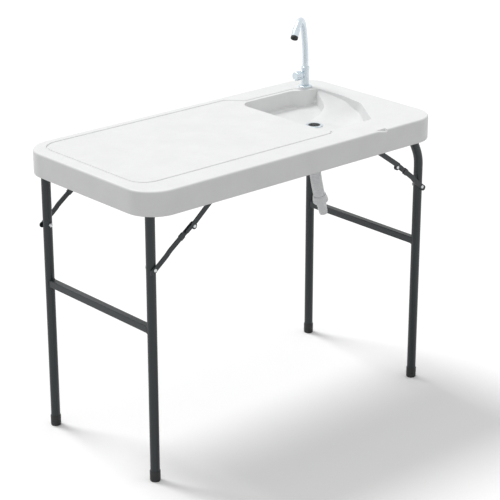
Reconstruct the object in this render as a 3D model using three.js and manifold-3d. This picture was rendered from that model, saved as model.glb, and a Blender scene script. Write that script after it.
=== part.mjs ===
// Folding fish cleaning table with a moulded sink, a gooseneck faucet and a ribbed drain hose.
// Millimetres, +Z up. The origin is on the floor under the middle of the tabletop,
// +X runs along the table to the sink end and +Y to the side that carries the faucet.

import * as THREE from 'three';
import { mergeVertices } from 'three/addons/utils/BufferGeometryUtils.js';
import Module from 'manifold-3d';

const wasm = await Module();
wasm.setup();

// Tabletop
const TOP_LENGTH = 1150;
const TOP_WIDTH = 590;
const TOP_HEIGHT = 890;
const SKIRT_DEPTH = 73;
const DECK_THICKNESS = 33;
const CORNER_RADIUS = 90;
const TOP_EDGE_RADIUS = 6;
const SKIRT_EDGE_RADIUS = 2;
const SKIRT_WALL_END = 12;
const SKIRT_WALL_SIDE = 11;
const RIB_WIDTH = 11;
const RIB_PITCH = 64;
const RIB_REACH_END = 12;
const RIB_REACH_SIDE = 9;
const RIB_SHORT_OF_RIM = 5;
const DIMPLE_CELL_X = 54;
const DIMPLE_CELL_Y = 40.5;
const DIMPLE_DOT = 13;
const DIMPLE_DASH_LENGTH = 27;
const DIMPLE_DASH_WIDTH = 5;
const DIMPLE_DEPTH = 4;
const DIMPLE_FIELD_FROM_END = 75;
const DIMPLE_FIELD_FROM_SINK = 24;
const DIMPLE_FIELD_FROM_SIDE = 73;
const CUT_OVERRUN = 5;

// Sink, with its opening measured on the top surface from the right end and the two sides
const SINK_LEFT_FROM_END = 386;
const SINK_RIGHT_FROM_END = 74;
const SINK_FROM_FRONT = 105;
const SINK_FROM_BACK = 92;
const SINK_DEPTH = 60;
const SINK_FLOOR_SHARE = 0.95;
const LEDGE_DEPTH = 48;
const LEDGE_FROM_RIM = 22;
const LEDGE_LENGTH = 226;
const BULGE_PAST_LEFT = 9;
const BULGE_SHORT_OF_RIGHT = 19;
const BULGE_PAST_FRONT = 14;
const BULGE_PAST_BACK = 5;
const BULGE_RADIUS = 60;
const BULGE_DRAFT = 12;
const BULGE_BELOW_FLOOR = 22;
const RAMP_STEP_DEPTH = 17;
const RAMP_FALL_SHARE = 0.252;
const RAMP_FORWARD_FALL_SHARE = 0.073;
const RAMP_STEEP_FALL_SHARE = 0.42;
const RAMP_FOOT_FROM_DRAIN = 34;
const TROUGH_WIDTH = 137;
const TROUGH_END_FROM_RIGHT = 69;
const TROUGH_BACK_END_FROM_RIGHT = 4;
const TROUGH_BACK_END_FROM_BACK = 45;
const TROUGH_END_RADIUS = 18;

// Juice groove and the small step in the front edge
const GROOVE_WIDTH = 5;
const GROOVE_DEPTH = 2.5;
const GROOVE_FROM_LEFT = 45;
const GROOVE_FROM_FRONT = 85;
const GROOVE_FROM_BACK = 29;
const GROOVE_CORNER_RADIUS = 58;
const GROOVE_FRONT_END_TO_SINK = 7;
const GROOVE_BACK_TURN_TO_SINK = 17;
const GROOVE_BEHIND_SINK = 14;
const GROOVE_SINK_START_FROM_LEFT = 49;
const GROOVE_SINK_END_FROM_RIGHT = 83;
const NOTCH_START_FROM_END = 270;
const NOTCH_LENGTH = 38;
const NOTCH_DEPTH = 7.5;
const NOTCH_REACH = 13;

// Leg frames
const LEG_TUBE_RADIUS = 14;
const LEG_TUBE_WALL = 1.3;
const LEG_FROM_SIDE = 53;
const LEFT_LEG_FROM_END = 47;
const RIGHT_LEG_FROM_END = 35;
const HINGE_TO_DECK = 3.7;
const RIGHT_LEG_JOGGLE = 30;
const JOGGLE_END_UNDER_HINGE = 10;
const JOGGLE_RISE = 106;
const LEG_TOP_OVER_HINGE = 8;
const TOP_TUBE_RADIUS = 12.5;
const CROSSBAR_SIZE = 22;
const CROSSBAR_WALL = 1.5;
const CROSSBAR_CORNER = 3;
const CROSSBAR_HEIGHT = 470.5;
const FOOT_RADIUS = 15.7;
const FOOT_HEIGHT = 33;
const FOOT_SOLE = 6;
const FOOT_EDGE_RADIUS = 2;
const RUNNING_GAP = 0.3;

// Braces: the lower bar turns on the leg, the upper bar on the rail, and they meet at the knee
const BRACE_PIVOT_UNDER_HINGE = 183;
const LEFT_KNEE_INBOARD = 139;
const LEFT_KNEE_UNDER_HINGE = 86;
const LEFT_RAIL_PIVOT_UNDER_HINGE = 5;
const LEFT_FOLDED_DROOP_DEG = 5;
const RIGHT_KNEE_INBOARD = 118;
const RIGHT_KNEE_UNDER_HINGE = 93;
const RIGHT_RAIL_PIVOT_UNDER_HINGE = 12;
const RIGHT_FOLDED_DROOP_DEG = 3.5;
const BAR_WIDTH = 16;
const BAR_THICKNESS = 3.2;
const BAR_EYE_RADIUS = 9;
const BAR_OFFSET_AT_KNEE = 7;
const BEND_START_SHARE = 0.32;
const BEND_END_SHARE = 0.4;
const BEND_START_OFFSET_SHARE = 0.35;
const BEND_END_OFFSET_SHARE = 0.7;
const UPPER_STRAIGHT_SHARE = 0.6;
const BAR_TAIL = 27;
const BAR_TAIL_WIDTH = 12;
const LEG_TO_BAR = 1.8;
const BAR_TO_BAR = 1.8;
const SLEEVE_WALL = 1.2;
const SLEEVE_LENGTH = 15;
const SLEEVE_FROM_KNEE = 47.5;
const PIN_RADIUS = 4;
const BOLT_HEAD_RADIUS = 6.5;
const BOLT_HEAD_HEIGHT = 3;
const NUT_HEIGHT = 5;
const RIVET_HEAD_HEIGHT = 2.2;
const SPACER_RADIUS = 7;

// Rails and brackets under the deck
const RAIL_FROM_LEFT_END = 75;
const RAIL_FROM_RIGHT_END = 95;
const RAIL_SHEET = 2.5;
const RAIL_FLANGE_WIDTH = 22;
const RAIL_FROM_SIDE = 23.3;
const RAIL_SCREWS = 6;
const SCREW_HEAD_RADIUS = 4.5;
const SCREW_HEAD_HEIGHT = 2.5;
const RAIL_END_MARGIN = 40;
const SADDLE_WIDTH = 18;
const SADDLE_LENGTH = 42;
const SADDLE_TO_LEG = 14;
const BRACKET_HALF_LENGTH = 16;
const BRACKET_EAR_DROP = 13;

// Faucet
const FAUCET_FROM_END = 91;
const FAUCET_FROM_BACK = 82;
const FAUCET_FLANGE_RADIUS = 22;
const FAUCET_FLANGE_HEIGHT = 5;
const FAUCET_SHANK_RADIUS = 10;
const FAUCET_SHANK_BELOW_DECK = 28;
const FAUCET_BODY_RADIUS = 12.3;
const FAUCET_BODY_HEIGHT = 56;
const FAUCET_COLLAR_RADIUS = 13.2;
const FAUCET_COLLAR_HEIGHT = 11;
const FAUCET_BORE_RADIUS = 6;
const SPOUT_TUBE_RADIUS = 9.8;
const SPOUT_TUBE_WALL = 1.5;
const SPOUT_HEADING_DEG = 210;
const SPOUT_TIP_DOWN_DEG = 45;
const SPOUT_HEAD_RADIUS = 12;
const SPOUT_HEAD_LENGTH = 30;
const SPOUT_IN_HEAD = 8;
const OUTLET_LENGTH = 7;
const OUTLET_BORE_RADIUS = 8.5;
const HANDLE_HEIGHT = 41;
const HANDLE_HEADING_DEG = 180;
const HANDLE_START = 21;
const HANDLE_RADIUS = 15;
const HANDLE_LENGTH = 25;
const HANDLE_STEM_RADIUS = 6;
const HANDLE_STEM_REACH = 38;
const FAUCET_NUT_RADIUS = 17;
const FAUCET_NUT_HEIGHT = 9;

// The spout's centre line, as reach from the faucet's axis and height over the tabletop
const SPOUT_ROUTE = [
  [0, 57], [0, 90], [4, 125], [12, 155], [22, 190], [37, 217.5], [58, 231], [81, 228], [103, 214],
];

// Drain and hose
const DRAIN_FROM_SINK_LEFT = 153;
const DRAIN_TO_TROUGH = 45;
const DRAIN_FLANGE_RADIUS = 28;
const DRAIN_FLANGE_HEIGHT = 2.7;
const DRAIN_RECESS_RADIUS = 19;
const DRAIN_NECK_RADIUS = 14.5;
const DRAIN_NECK_WALL = 2;
const DRAIN_NECK_LENGTH = 62;
const DRAIN_STRAINER_HEIGHT = 1.4;
const DRAIN_SLOTS = 6;
const DRAIN_SLOT_WIDTH = 2.5;
const DRAIN_SLOT_INNER = 5;
const DRAIN_SLOT_OUTER = 15;
const GASKET_RADIUS = 24;
const GASKET_HEIGHT = 2.7;
const DRAIN_NUT_RADIUS = 25;
const DRAIN_NUT_HEIGHT = 8.4;
const HOSE_RADIUS = 18.5;
const HOSE_VALLEY_RADIUS = 17.3;
const HOSE_BORE_RADIUS = 16.1;
const HOSE_RIBS = 38;
const HOSE_CREST_SHARE = 0.25;
const HOSE_VALLEY_SHARE = 0.75;
const HOSE_RING_POINTS = 8;
const HOSE_RIBS_PER_BORE_RING = 5;
const CLAMP_WALL = 1.5;
const CLAMP_WIDTH = 10;
const CLAMP_FROM_TOP = 10;
const COUPLER_LENGTH = 24;
const COUPLER_FLOOR = 3;
const COUPLER_TOP_RADIUS = 21.5;
const COUPLER_RADIUS = 24.5;
const NOZZLE_LENGTH = 42;
const NOZZLE_RADIUS = 15.5;
const NOZZLE_TIP_RADIUS = 13.5;
const NOZZLE_BORE_RADIUS = 11;

// The hose's route from the drain nut down, as sideways offset in X and drop in Z
const HOSE_ROUTE = [
  [0, 0], [0, 18.5], [0, 37], [0.2, 51], [0.8, 66], [2, 82], [3.7, 98], [5.9, 114], [8.6, 130],
  [11.8, 146], [15.5, 162], [19.3, 176], [22.6, 188.3], [28, 206], [33.4, 223.7],
];

// Sides of round sections
const TUBE_SIDES = 16;
const SMALL_SIDES = 12;
const CORNER_STEPS = 8;
const ROUND_END_STEPS = 6;

// Sizes worked out from the ones above
const END_X = TOP_LENGTH / 2;
const SIDE_Y = TOP_WIDTH / 2;
const DECK_UNDERSIDE = TOP_HEIGHT - DECK_THICKNESS;
const SKIRT_BOTTOM = TOP_HEIGHT - SKIRT_DEPTH;
const SINK_FLOOR = TOP_HEIGHT - SINK_DEPTH;
const BULGE_BOTTOM = SINK_FLOOR - BULGE_BELOW_FLOOR;
const SINK_LEFT_X = END_X - SINK_LEFT_FROM_END;
const SINK_RIGHT_X = END_X - SINK_RIGHT_FROM_END;
const SINK_FRONT_Y = -SIDE_Y + SINK_FROM_FRONT;
const SINK_BACK_Y = SIDE_Y - SINK_FROM_BACK;
const SINK_LENGTH = SINK_RIGHT_X - SINK_LEFT_X;
const SINK_WIDTH = SINK_BACK_Y - SINK_FRONT_Y;
const LEDGE_END_X = SINK_LEFT_X + LEDGE_LENGTH;
const BULGE_LEFT_X = SINK_LEFT_X - BULGE_PAST_LEFT;
const BULGE_RIGHT_X = SINK_RIGHT_X - BULGE_SHORT_OF_RIGHT;
const BULGE_FRONT_Y = SINK_FRONT_Y - BULGE_PAST_FRONT;
const BULGE_BACK_Y = SINK_BACK_Y + BULGE_PAST_BACK;
const TROUGH_FRONT_Y = SINK_BACK_Y - TROUGH_WIDTH;
const TROUGH_END_X = SINK_RIGHT_X - TROUGH_END_FROM_RIGHT;
const TROUGH_BACK_END_X = SINK_RIGHT_X - TROUGH_BACK_END_FROM_RIGHT;
const TROUGH_BACK_END_Y = SINK_BACK_Y - TROUGH_BACK_END_FROM_BACK;
const DRAIN_X = SINK_LEFT_X + DRAIN_FROM_SINK_LEFT;
const DRAIN_Y = TROUGH_FRONT_Y - DRAIN_TO_TROUGH;
const RAMP_FOOT_X = DRAIN_X + RAMP_FOOT_FROM_DRAIN;
const DIMPLE_FIELD_START_X = -END_X + DIMPLE_FIELD_FROM_END;
const DIMPLE_FIELD_END_X = SINK_LEFT_X - DIMPLE_FIELD_FROM_SINK;
const DIMPLE_FIELD_HALF_Y = SIDE_Y - DIMPLE_FIELD_FROM_SIDE;
const GROOVE_LEFT_X = -END_X + GROOVE_FROM_LEFT;
const GROOVE_FRONT_Y = -SIDE_Y + GROOVE_FROM_FRONT;
const GROOVE_BACK_Y = SIDE_Y - GROOVE_FROM_BACK;
const GROOVE_FRONT_END_X = SINK_LEFT_X - GROOVE_FRONT_END_TO_SINK;
const GROOVE_BACK_TURN_X = SINK_LEFT_X - GROOVE_BACK_TURN_TO_SINK;
const GROOVE_SINK_Y = SINK_BACK_Y + GROOVE_BEHIND_SINK;
const GROOVE_SINK_START_X = SINK_LEFT_X + GROOVE_SINK_START_FROM_LEFT;
const GROOVE_SINK_END_X = SINK_RIGHT_X - GROOVE_SINK_END_FROM_RIGHT;
const NOTCH_START_X = END_X - NOTCH_START_FROM_END;
const NOTCH_END_X = NOTCH_START_X + NOTCH_LENGTH;
const FAUCET_X = END_X - FAUCET_FROM_END;
const FAUCET_Y = SIDE_Y - FAUCET_FROM_BACK;
const LEG_LINE_Y = SIDE_Y - LEG_FROM_SIDE;
const LEFT_LEG_X = -END_X + LEFT_LEG_FROM_END;
const RIGHT_LEG_X = END_X - RIGHT_LEG_FROM_END;
const RIGHT_HINGE_X = RIGHT_LEG_X - RIGHT_LEG_JOGGLE;
const HINGE_HEIGHT = DECK_UNDERSIDE - TOP_TUBE_RADIUS - RUNNING_GAP - RAIL_SHEET - HINGE_TO_DECK;
const JOGGLE_END_Z = HINGE_HEIGHT - JOGGLE_END_UNDER_HINGE;
const JOGGLE_START_Z = JOGGLE_END_Z - JOGGLE_RISE;
const BRACE_PIVOT_HEIGHT = HINGE_HEIGHT - BRACE_PIVOT_UNDER_HINGE;
const LEFT_KNEE_HEIGHT = HINGE_HEIGHT - LEFT_KNEE_UNDER_HINGE;
const LEFT_RAIL_PIVOT_HEIGHT = HINGE_HEIGHT - LEFT_RAIL_PIVOT_UNDER_HINGE;
const RIGHT_KNEE_HEIGHT = HINGE_HEIGHT - RIGHT_KNEE_UNDER_HINGE;
const RIGHT_RAIL_PIVOT_HEIGHT = HINGE_HEIGHT - RIGHT_RAIL_PIVOT_UNDER_HINGE;
const RAIL_START_X = -END_X + RAIL_FROM_LEFT_END;
const RAIL_END_X = END_X - RAIL_FROM_RIGHT_END;
const RAIL_WEB_Y = SIDE_Y - RAIL_FROM_SIDE - RAIL_SHEET;
const LEG_OUTER_Y = LEG_LINE_Y + LEG_TUBE_RADIUS;
const LOWER_BAR_Y = LEG_OUTER_Y + LEG_TO_BAR;
const UPPER_BAR_Y = LOWER_BAR_Y + BAR_THICKNESS + BAR_TO_BAR;
const FLANGE_TOP = DECK_UNDERSIDE - RUNNING_GAP;
const FLANGE_BOTTOM = FLANGE_TOP - RAIL_SHEET;
const PIN_HOLE_RADIUS = PIN_RADIUS + RUNNING_GAP;

const material = (color, roughness, metalness) =>
  new THREE.MeshStandardMaterial({ color, roughness, metalness });
const finish = {
  plastic: () => material(0xe9eaea, 0.55, 0),
  steel: () => material(0x33383a, 0.45, 0.4),
  cap: () => material(0x151617, 0.6, 0),
  zinc: () => material(0xc9ccce, 0.3, 0.9),
  chrome: () => material(0xd6dade, 0.18, 0.9),
  rubber: () => material(0x1b1c1d, 0.8, 0),
  hose: () => material(0xc3c5c7, 0.6, 0),
};

const group = new THREE.Group();

// A solid for joining and cutting, from a closed geometry
function solid(geometry) {
  const bare = geometry.clone();
  bare.deleteAttribute('normal');
  bare.deleteAttribute('uv');
  const merged = mergeVertices(bare);
  return new wasm.Manifold(new wasm.Mesh({
    numProp: 3,
    vertProperties: new Float32Array(merged.attributes.position.array),
    triVerts: new Uint32Array(merged.index.array),
  }));
}

function geometryOf(body) {
  const data = body.getMesh();
  const geometry = new THREE.BufferGeometry();
  geometry.setAttribute('position', new THREE.BufferAttribute(data.vertProperties, 3));
  geometry.setIndex(new THREE.BufferAttribute(data.triVerts, 1));
  return geometry;
}

function place(name, body, look) {
  const mesh = new THREE.Mesh(geometryOf(body), look());
  mesh.name = name;
  group.add(mesh);
}

function block(x0, x1, y0, y1, z0, z1) {
  const geometry = new THREE.BoxGeometry(Math.abs(x1 - x0), Math.abs(y1 - y0), Math.abs(z1 - z0));
  geometry.translate((x0 + x1) / 2, (y0 + y1) / 2, (z0 + z1) / 2);
  return solid(geometry);
}

// A round bar between two points
function rod(from, to, radius, sides = SMALL_SIDES) {
  const axis = to.clone().sub(from);
  const geometry = new THREE.CylinderGeometry(radius, radius, axis.length(), sides);
  const turn = new THREE.Quaternion().setFromUnitVectors(new THREE.Vector3(0, 1, 0), axis.normalize());
  geometry.applyQuaternion(turn);
  geometry.translate((from.x + to.x) / 2, (from.y + to.y) / 2, (from.z + to.z) / 2);
  return solid(geometry);
}

const rodZ = (x, y, z0, z1, radius, sides) =>
  rod(new THREE.Vector3(x, y, z0), new THREE.Vector3(x, y, z1), radius, sides);
const rodY = (x, z, y0, y1, radius, sides) =>
  rod(new THREE.Vector3(x, y0, z), new THREE.Vector3(x, y1, z), radius, sides);

// A turned piece about a vertical axis, from [radius, height] points of a closed profile
function turned(profile, x, y, sides = TUBE_SIDES) {
  const points = profile.map(([r, z]) => new THREE.Vector2(r, z));
  if (profile.some(([r]) => r > 0) && profile[0][0] > 0) points.push(points[0].clone());
  const geometry = new THREE.LatheGeometry(points, sides);
  geometry.rotateX(Math.PI / 2);
  geometry.translate(x, y, 0);
  return solid(geometry);
}

// A flat plate drawn in X and Z, between two values of Y
function plateY(points, y0, y1, holes = []) {
  const shape = new THREE.Shape(points);
  const depth = Math.abs(y1 - y0);
  const geometry = new THREE.ExtrudeGeometry(shape, { depth, bevelEnabled: false });
  geometry.rotateX(Math.PI / 2);
  geometry.translate(0, Math.max(y0, y1), 0);
  let body = solid(geometry);
  for (const [x, z, radius] of holes) {
    body = body.subtract(rodY(x, z, y0 - CUT_OVERRUN, y1 + CUT_OVERRUN, radius));
  }
  return body;
}

// A prism drawn in X and Y, between two heights
function prismZ(points, z0, z1) {
  const shape = new THREE.Shape(points);
  const geometry = new THREE.ExtrudeGeometry(shape, { depth: z1 - z0, bevelEnabled: false });
  geometry.translate(0, 0, z0);
  return solid(geometry);
}

// A closed solid through a stack of outlines that have the same number of points
function stack(rings) {
  const count = rings[0].length;
  const positions = rings.flat().flatMap((p) => [p.x, p.y, p.z]);
  const index = [];
  for (let level = 0; level + 1 < rings.length; level += 1) {
    for (let i = 0; i < count; i += 1) {
      const next = (i + 1) % count;
      const a = level * count + i;
      const b = level * count + next;
      index.push(a, b, b + count, a, b + count, a + count);
    }
  }
  const outline = rings[0].map((p) => new THREE.Vector2(p.x, p.y));
  const last = (rings.length - 1) * count;
  for (const [a, b, c] of THREE.ShapeUtils.triangulateShape(outline, [])) {
    index.push(a, c, b);
    index.push(last + a, last + b, last + c);
  }
  const geometry = new THREE.BufferGeometry();
  geometry.setAttribute('position', new THREE.Float32BufferAttribute(positions, 3));
  geometry.setIndex(index);
  return solid(geometry);
}

// A rounded rectangle, anticlockwise
function roundedRectangle(x0, x1, y0, y1, radius, steps = CORNER_STEPS) {
  const corners = [[x1 - radius, y1 - radius, 0], [x0 + radius, y1 - radius, 1],
    [x0 + radius, y0 + radius, 2], [x1 - radius, y0 + radius, 3]];
  const points = [];
  for (const [cx, cy, quarter] of corners) {
    for (let i = 0; i <= steps; i += 1) {
      const angle = (quarter + i / steps) * Math.PI / 2;
      points.push(new THREE.Vector2(cx + radius * Math.cos(angle), cy + radius * Math.sin(angle)));
    }
  }
  return points;
}

const atHeight = (points, z) => points.map((p) => new THREE.Vector3(p.x, p.y, z));

function ringShape(outer, inner, sides) {
  const circle = (radius) => Array.from({ length: sides }, (_, i) => new THREE.Vector2(
    radius * Math.cos(i * 2 * Math.PI / sides), radius * Math.sin(i * 2 * Math.PI / sides)));
  const shape = new THREE.Shape(circle(outer));
  if (inner > 0) shape.holes.push(new THREE.Path(circle(inner)));
  return shape;
}

// A path through points, sampled at exactly those points
class PathThrough extends THREE.Curve {
  constructor(points) {
    super();
    this.points = points;
  }

  getPoint(t, target = new THREE.Vector3()) {
    const place = Math.min(Math.max(t, 0), 1) * (this.points.length - 1);
    const i = Math.min(Math.floor(place), this.points.length - 2);
    return target.copy(this.points[i]).lerp(this.points[i + 1], place - i);
  }

  getUtoTmapping(u) {
    return u;
  }
}

function swept(shape, points) {
  const geometry = new THREE.ExtrudeGeometry(shape, {
    steps: points.length - 1, extrudePath: new PathThrough(points), bevelEnabled: false,
  });
  return solid(geometry);
}

function arcPoints(cx, cy, radius, fromDeg, toDeg, steps) {
  return Array.from({ length: steps + 1 }, (_, i) => {
    const angle = THREE.MathUtils.degToRad(fromDeg + (toDeg - fromDeg) * i / steps);
    return new THREE.Vector2(cx + radius * Math.cos(angle), cy + radius * Math.sin(angle));
  });
}

// The opening of the sink, as shares of its length and width from the left front corner:
// straight at the left, set back round the faucet and slanted at the right front
const SINK_OUTLINE_SHARES = [
  [0, 0.07], [0.016, 0.026], [0.055, 0], [0.3, 0], [0.52, 0], [0.6, 0.012], [0.651, 0.038],
  [0.7, 0.09], [0.753, 0.15], [0.81, 0.21], [0.856, 0.265], [0.9, 0.315], [0.933, 0.361],
  [0.965, 0.45], [0.984, 0.537], [0.996, 0.6], [1, 0.664], [1, 0.86], [0.985, 0.893],
  [0.95, 0.908], [0.9, 0.915], [0.853, 0.929], [0.792, 0.962], [0.74, 0.99], [0.69, 1],
  [0.4, 1], [0.128, 1], [0.078, 0.992], [0.037, 0.97], [0.01, 0.938], [0, 0.9], [0, 0.5],
];

function sinkOutline(scale) {
  return SINK_OUTLINE_SHARES.map(([u, v]) => new THREE.Vector2(
    SINK_LEFT_X + SINK_LENGTH * (0.5 + (u - 0.5) * scale),
    SINK_FRONT_Y + SINK_WIDTH * (0.5 + (v - 0.5) * scale)));
}

// A slab whose top falls towards the left and the front; start is its height at the right rim
function slope(heightAt) {
  const corners = [[SINK_LEFT_X, SINK_FRONT_Y], [SINK_RIGHT_X, SINK_FRONT_Y],
    [SINK_RIGHT_X, SINK_BACK_Y], [SINK_LEFT_X, SINK_BACK_Y]];
  const wide = corners.map(([x, y]) => [x + Math.sign(x - DRAIN_X) * CUT_OVERRUN, y]);
  return stack([
    wide.map(([x, y]) => new THREE.Vector3(x, y, BULGE_BOTTOM - SINK_DEPTH)),
    wide.map(([x, y]) => new THREE.Vector3(x, y, heightAt(x, y))),
  ]);
}

function sinkCut() {
  const mouth = sinkOutline(1);
  const basin = stack([
    atHeight(sinkOutline(SINK_FLOOR_SHARE), SINK_FLOOR),
    atHeight(mouth, TOP_HEIGHT - TOP_EDGE_RADIUS),
    atHeight(mouth, TOP_HEIGHT + CUT_OVERRUN),
  ]);
  const forward = (y) => -y * RAMP_FORWARD_FALL_SHARE;
  const gentle = slope((x, y) =>
    TOP_HEIGHT - RAMP_STEP_DEPTH - (SINK_RIGHT_X - x) * RAMP_FALL_SHARE - forward(y));
  const steep = slope((x, y) =>
    SINK_FLOOR + (x - RAMP_FOOT_X) * RAMP_STEEP_FALL_SHARE - forward(y - DRAIN_Y));
  const end = arcPoints(TROUGH_END_X - TROUGH_END_RADIUS, TROUGH_FRONT_Y + TROUGH_END_RADIUS,
    TROUGH_END_RADIUS, -90, -35, CORNER_STEPS / 2);
  const trough = prismZ([
    new THREE.Vector2(SINK_LEFT_X - CUT_OVERRUN, TROUGH_FRONT_Y),
    ...end,
    new THREE.Vector2(TROUGH_BACK_END_X, TROUGH_BACK_END_Y),
    new THREE.Vector2(TROUGH_BACK_END_X, SINK_BACK_Y + CUT_OVERRUN),
    new THREE.Vector2(SINK_LEFT_X - CUT_OVERRUN, SINK_BACK_Y + CUT_OVERRUN),
  ], SINK_FLOOR - CUT_OVERRUN, TOP_HEIGHT + CUT_OVERRUN);
  const ledge = block(SINK_LEFT_X - CUT_OVERRUN, LEDGE_END_X, SINK_BACK_Y - LEDGE_FROM_RIM,
    SINK_BACK_Y + CUT_OVERRUN, SINK_FLOOR - CUT_OVERRUN, TOP_HEIGHT - LEDGE_DEPTH);
  return basin.subtract(gentle.intersect(steep).subtract(trough)).subtract(ledge);
}

function grooveCut() {
  const shape = new THREE.Shape([
    new THREE.Vector2(-GROOVE_DEPTH, -GROOVE_WIDTH / 2), new THREE.Vector2(GROOVE_DEPTH, -GROOVE_WIDTH / 2),
    new THREE.Vector2(GROOVE_DEPTH, GROOVE_WIDTH / 2), new THREE.Vector2(-GROOVE_DEPTH, GROOVE_WIDTH / 2),
  ]);
  const r = GROOVE_CORNER_RADIUS;
  const steps = CORNER_STEPS / 2;
  const curl = GROOVE_FRONT_END_X - SINK_LEFT_X + GROOVE_CORNER_RADIUS / 2;
  const fall = (GROOVE_BACK_Y - GROOVE_SINK_Y) / 2;
  const sweepBack = GROOVE_SINK_Y - SINK_BACK_Y;
  const plan = [
    ...arcPoints(GROOVE_FRONT_END_X, GROOVE_FRONT_Y + curl, curl, 0, -90, steps),
    ...arcPoints(GROOVE_LEFT_X + r, GROOVE_FRONT_Y + r, r, 270, 180, steps),
    ...arcPoints(GROOVE_LEFT_X + r, GROOVE_BACK_Y - r, r, 180, 90, steps),
    ...arcPoints(GROOVE_BACK_TURN_X, GROOVE_BACK_Y - fall, fall, 90, 40, steps),
    ...arcPoints(GROOVE_SINK_START_X, GROOVE_SINK_Y + fall, fall, 220, 270, steps),
    ...arcPoints(GROOVE_SINK_END_X, GROOVE_SINK_Y - 2 * sweepBack, 2 * sweepBack, 90, 30, steps),
  ];
  return swept(shape, atHeight(plan, TOP_HEIGHT));
}

// Rows of tack-off dimples: dots and dashes take turns along and across
function dimples(x0, x1, y0, y1, z) {
  const cuts = [];
  const columns = Math.floor((x1 - x0) / DIMPLE_CELL_X);
  const rows = Math.floor((y1 - y0) / DIMPLE_CELL_Y);
  const startX = (x0 + x1 - (columns - 1) * DIMPLE_CELL_X) / 2;
  const startY = (y0 + y1 - (rows - 1) * DIMPLE_CELL_Y) / 2;
  for (let i = 0; i < columns; i += 1) {
    for (let j = 0; j < rows; j += 1) {
      const isDot = (i + j) % 2 === 0;
      const halfX = (isDot ? DIMPLE_DOT : DIMPLE_DASH_LENGTH) / 2;
      const halfY = (isDot ? DIMPLE_DOT : DIMPLE_DASH_WIDTH) / 2;
      const x = startX + i * DIMPLE_CELL_X;
      const y = startY + j * DIMPLE_CELL_Y;
      cuts.push(block(x - halfX, x + halfX, y - halfY, y + halfY, z - CUT_OVERRUN, z + DIMPLE_DEPTH));
    }
  }
  return cuts;
}

// Upright ribs that stiffen the skirt from inside
function ribs() {
  const bodies = [];
  const low = SKIRT_BOTTOM + RIB_SHORT_OF_RIM;
  const high = DECK_UNDERSIDE + CUT_OVERRUN;
  const wallX = END_X - SKIRT_WALL_END;
  const wallY = SIDE_Y - SKIRT_WALL_SIDE;
  const count = (straight) => Math.floor(straight / RIB_PITCH);
  const along = count(TOP_LENGTH - 2 * CORNER_RADIUS);
  const across = count(TOP_WIDTH - 2 * CORNER_RADIUS);
  for (const side of [-1, 1]) {
    for (let i = 0; i <= along; i += 1) {
      const x = (i - along / 2) * RIB_PITCH;
      bodies.push(block(x - RIB_WIDTH / 2, x + RIB_WIDTH / 2, side * (wallY - RIB_REACH_SIDE),
        side * (wallY + CUT_OVERRUN), low, high));
    }
    for (let i = 0; i <= across; i += 1) {
      const y = (i - across / 2) * RIB_PITCH;
      bodies.push(block(side * (wallX - RIB_REACH_END), side * (wallX + CUT_OVERRUN),
        y - RIB_WIDTH / 2, y + RIB_WIDTH / 2, low, high));
    }
  }
  return bodies;
}

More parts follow.
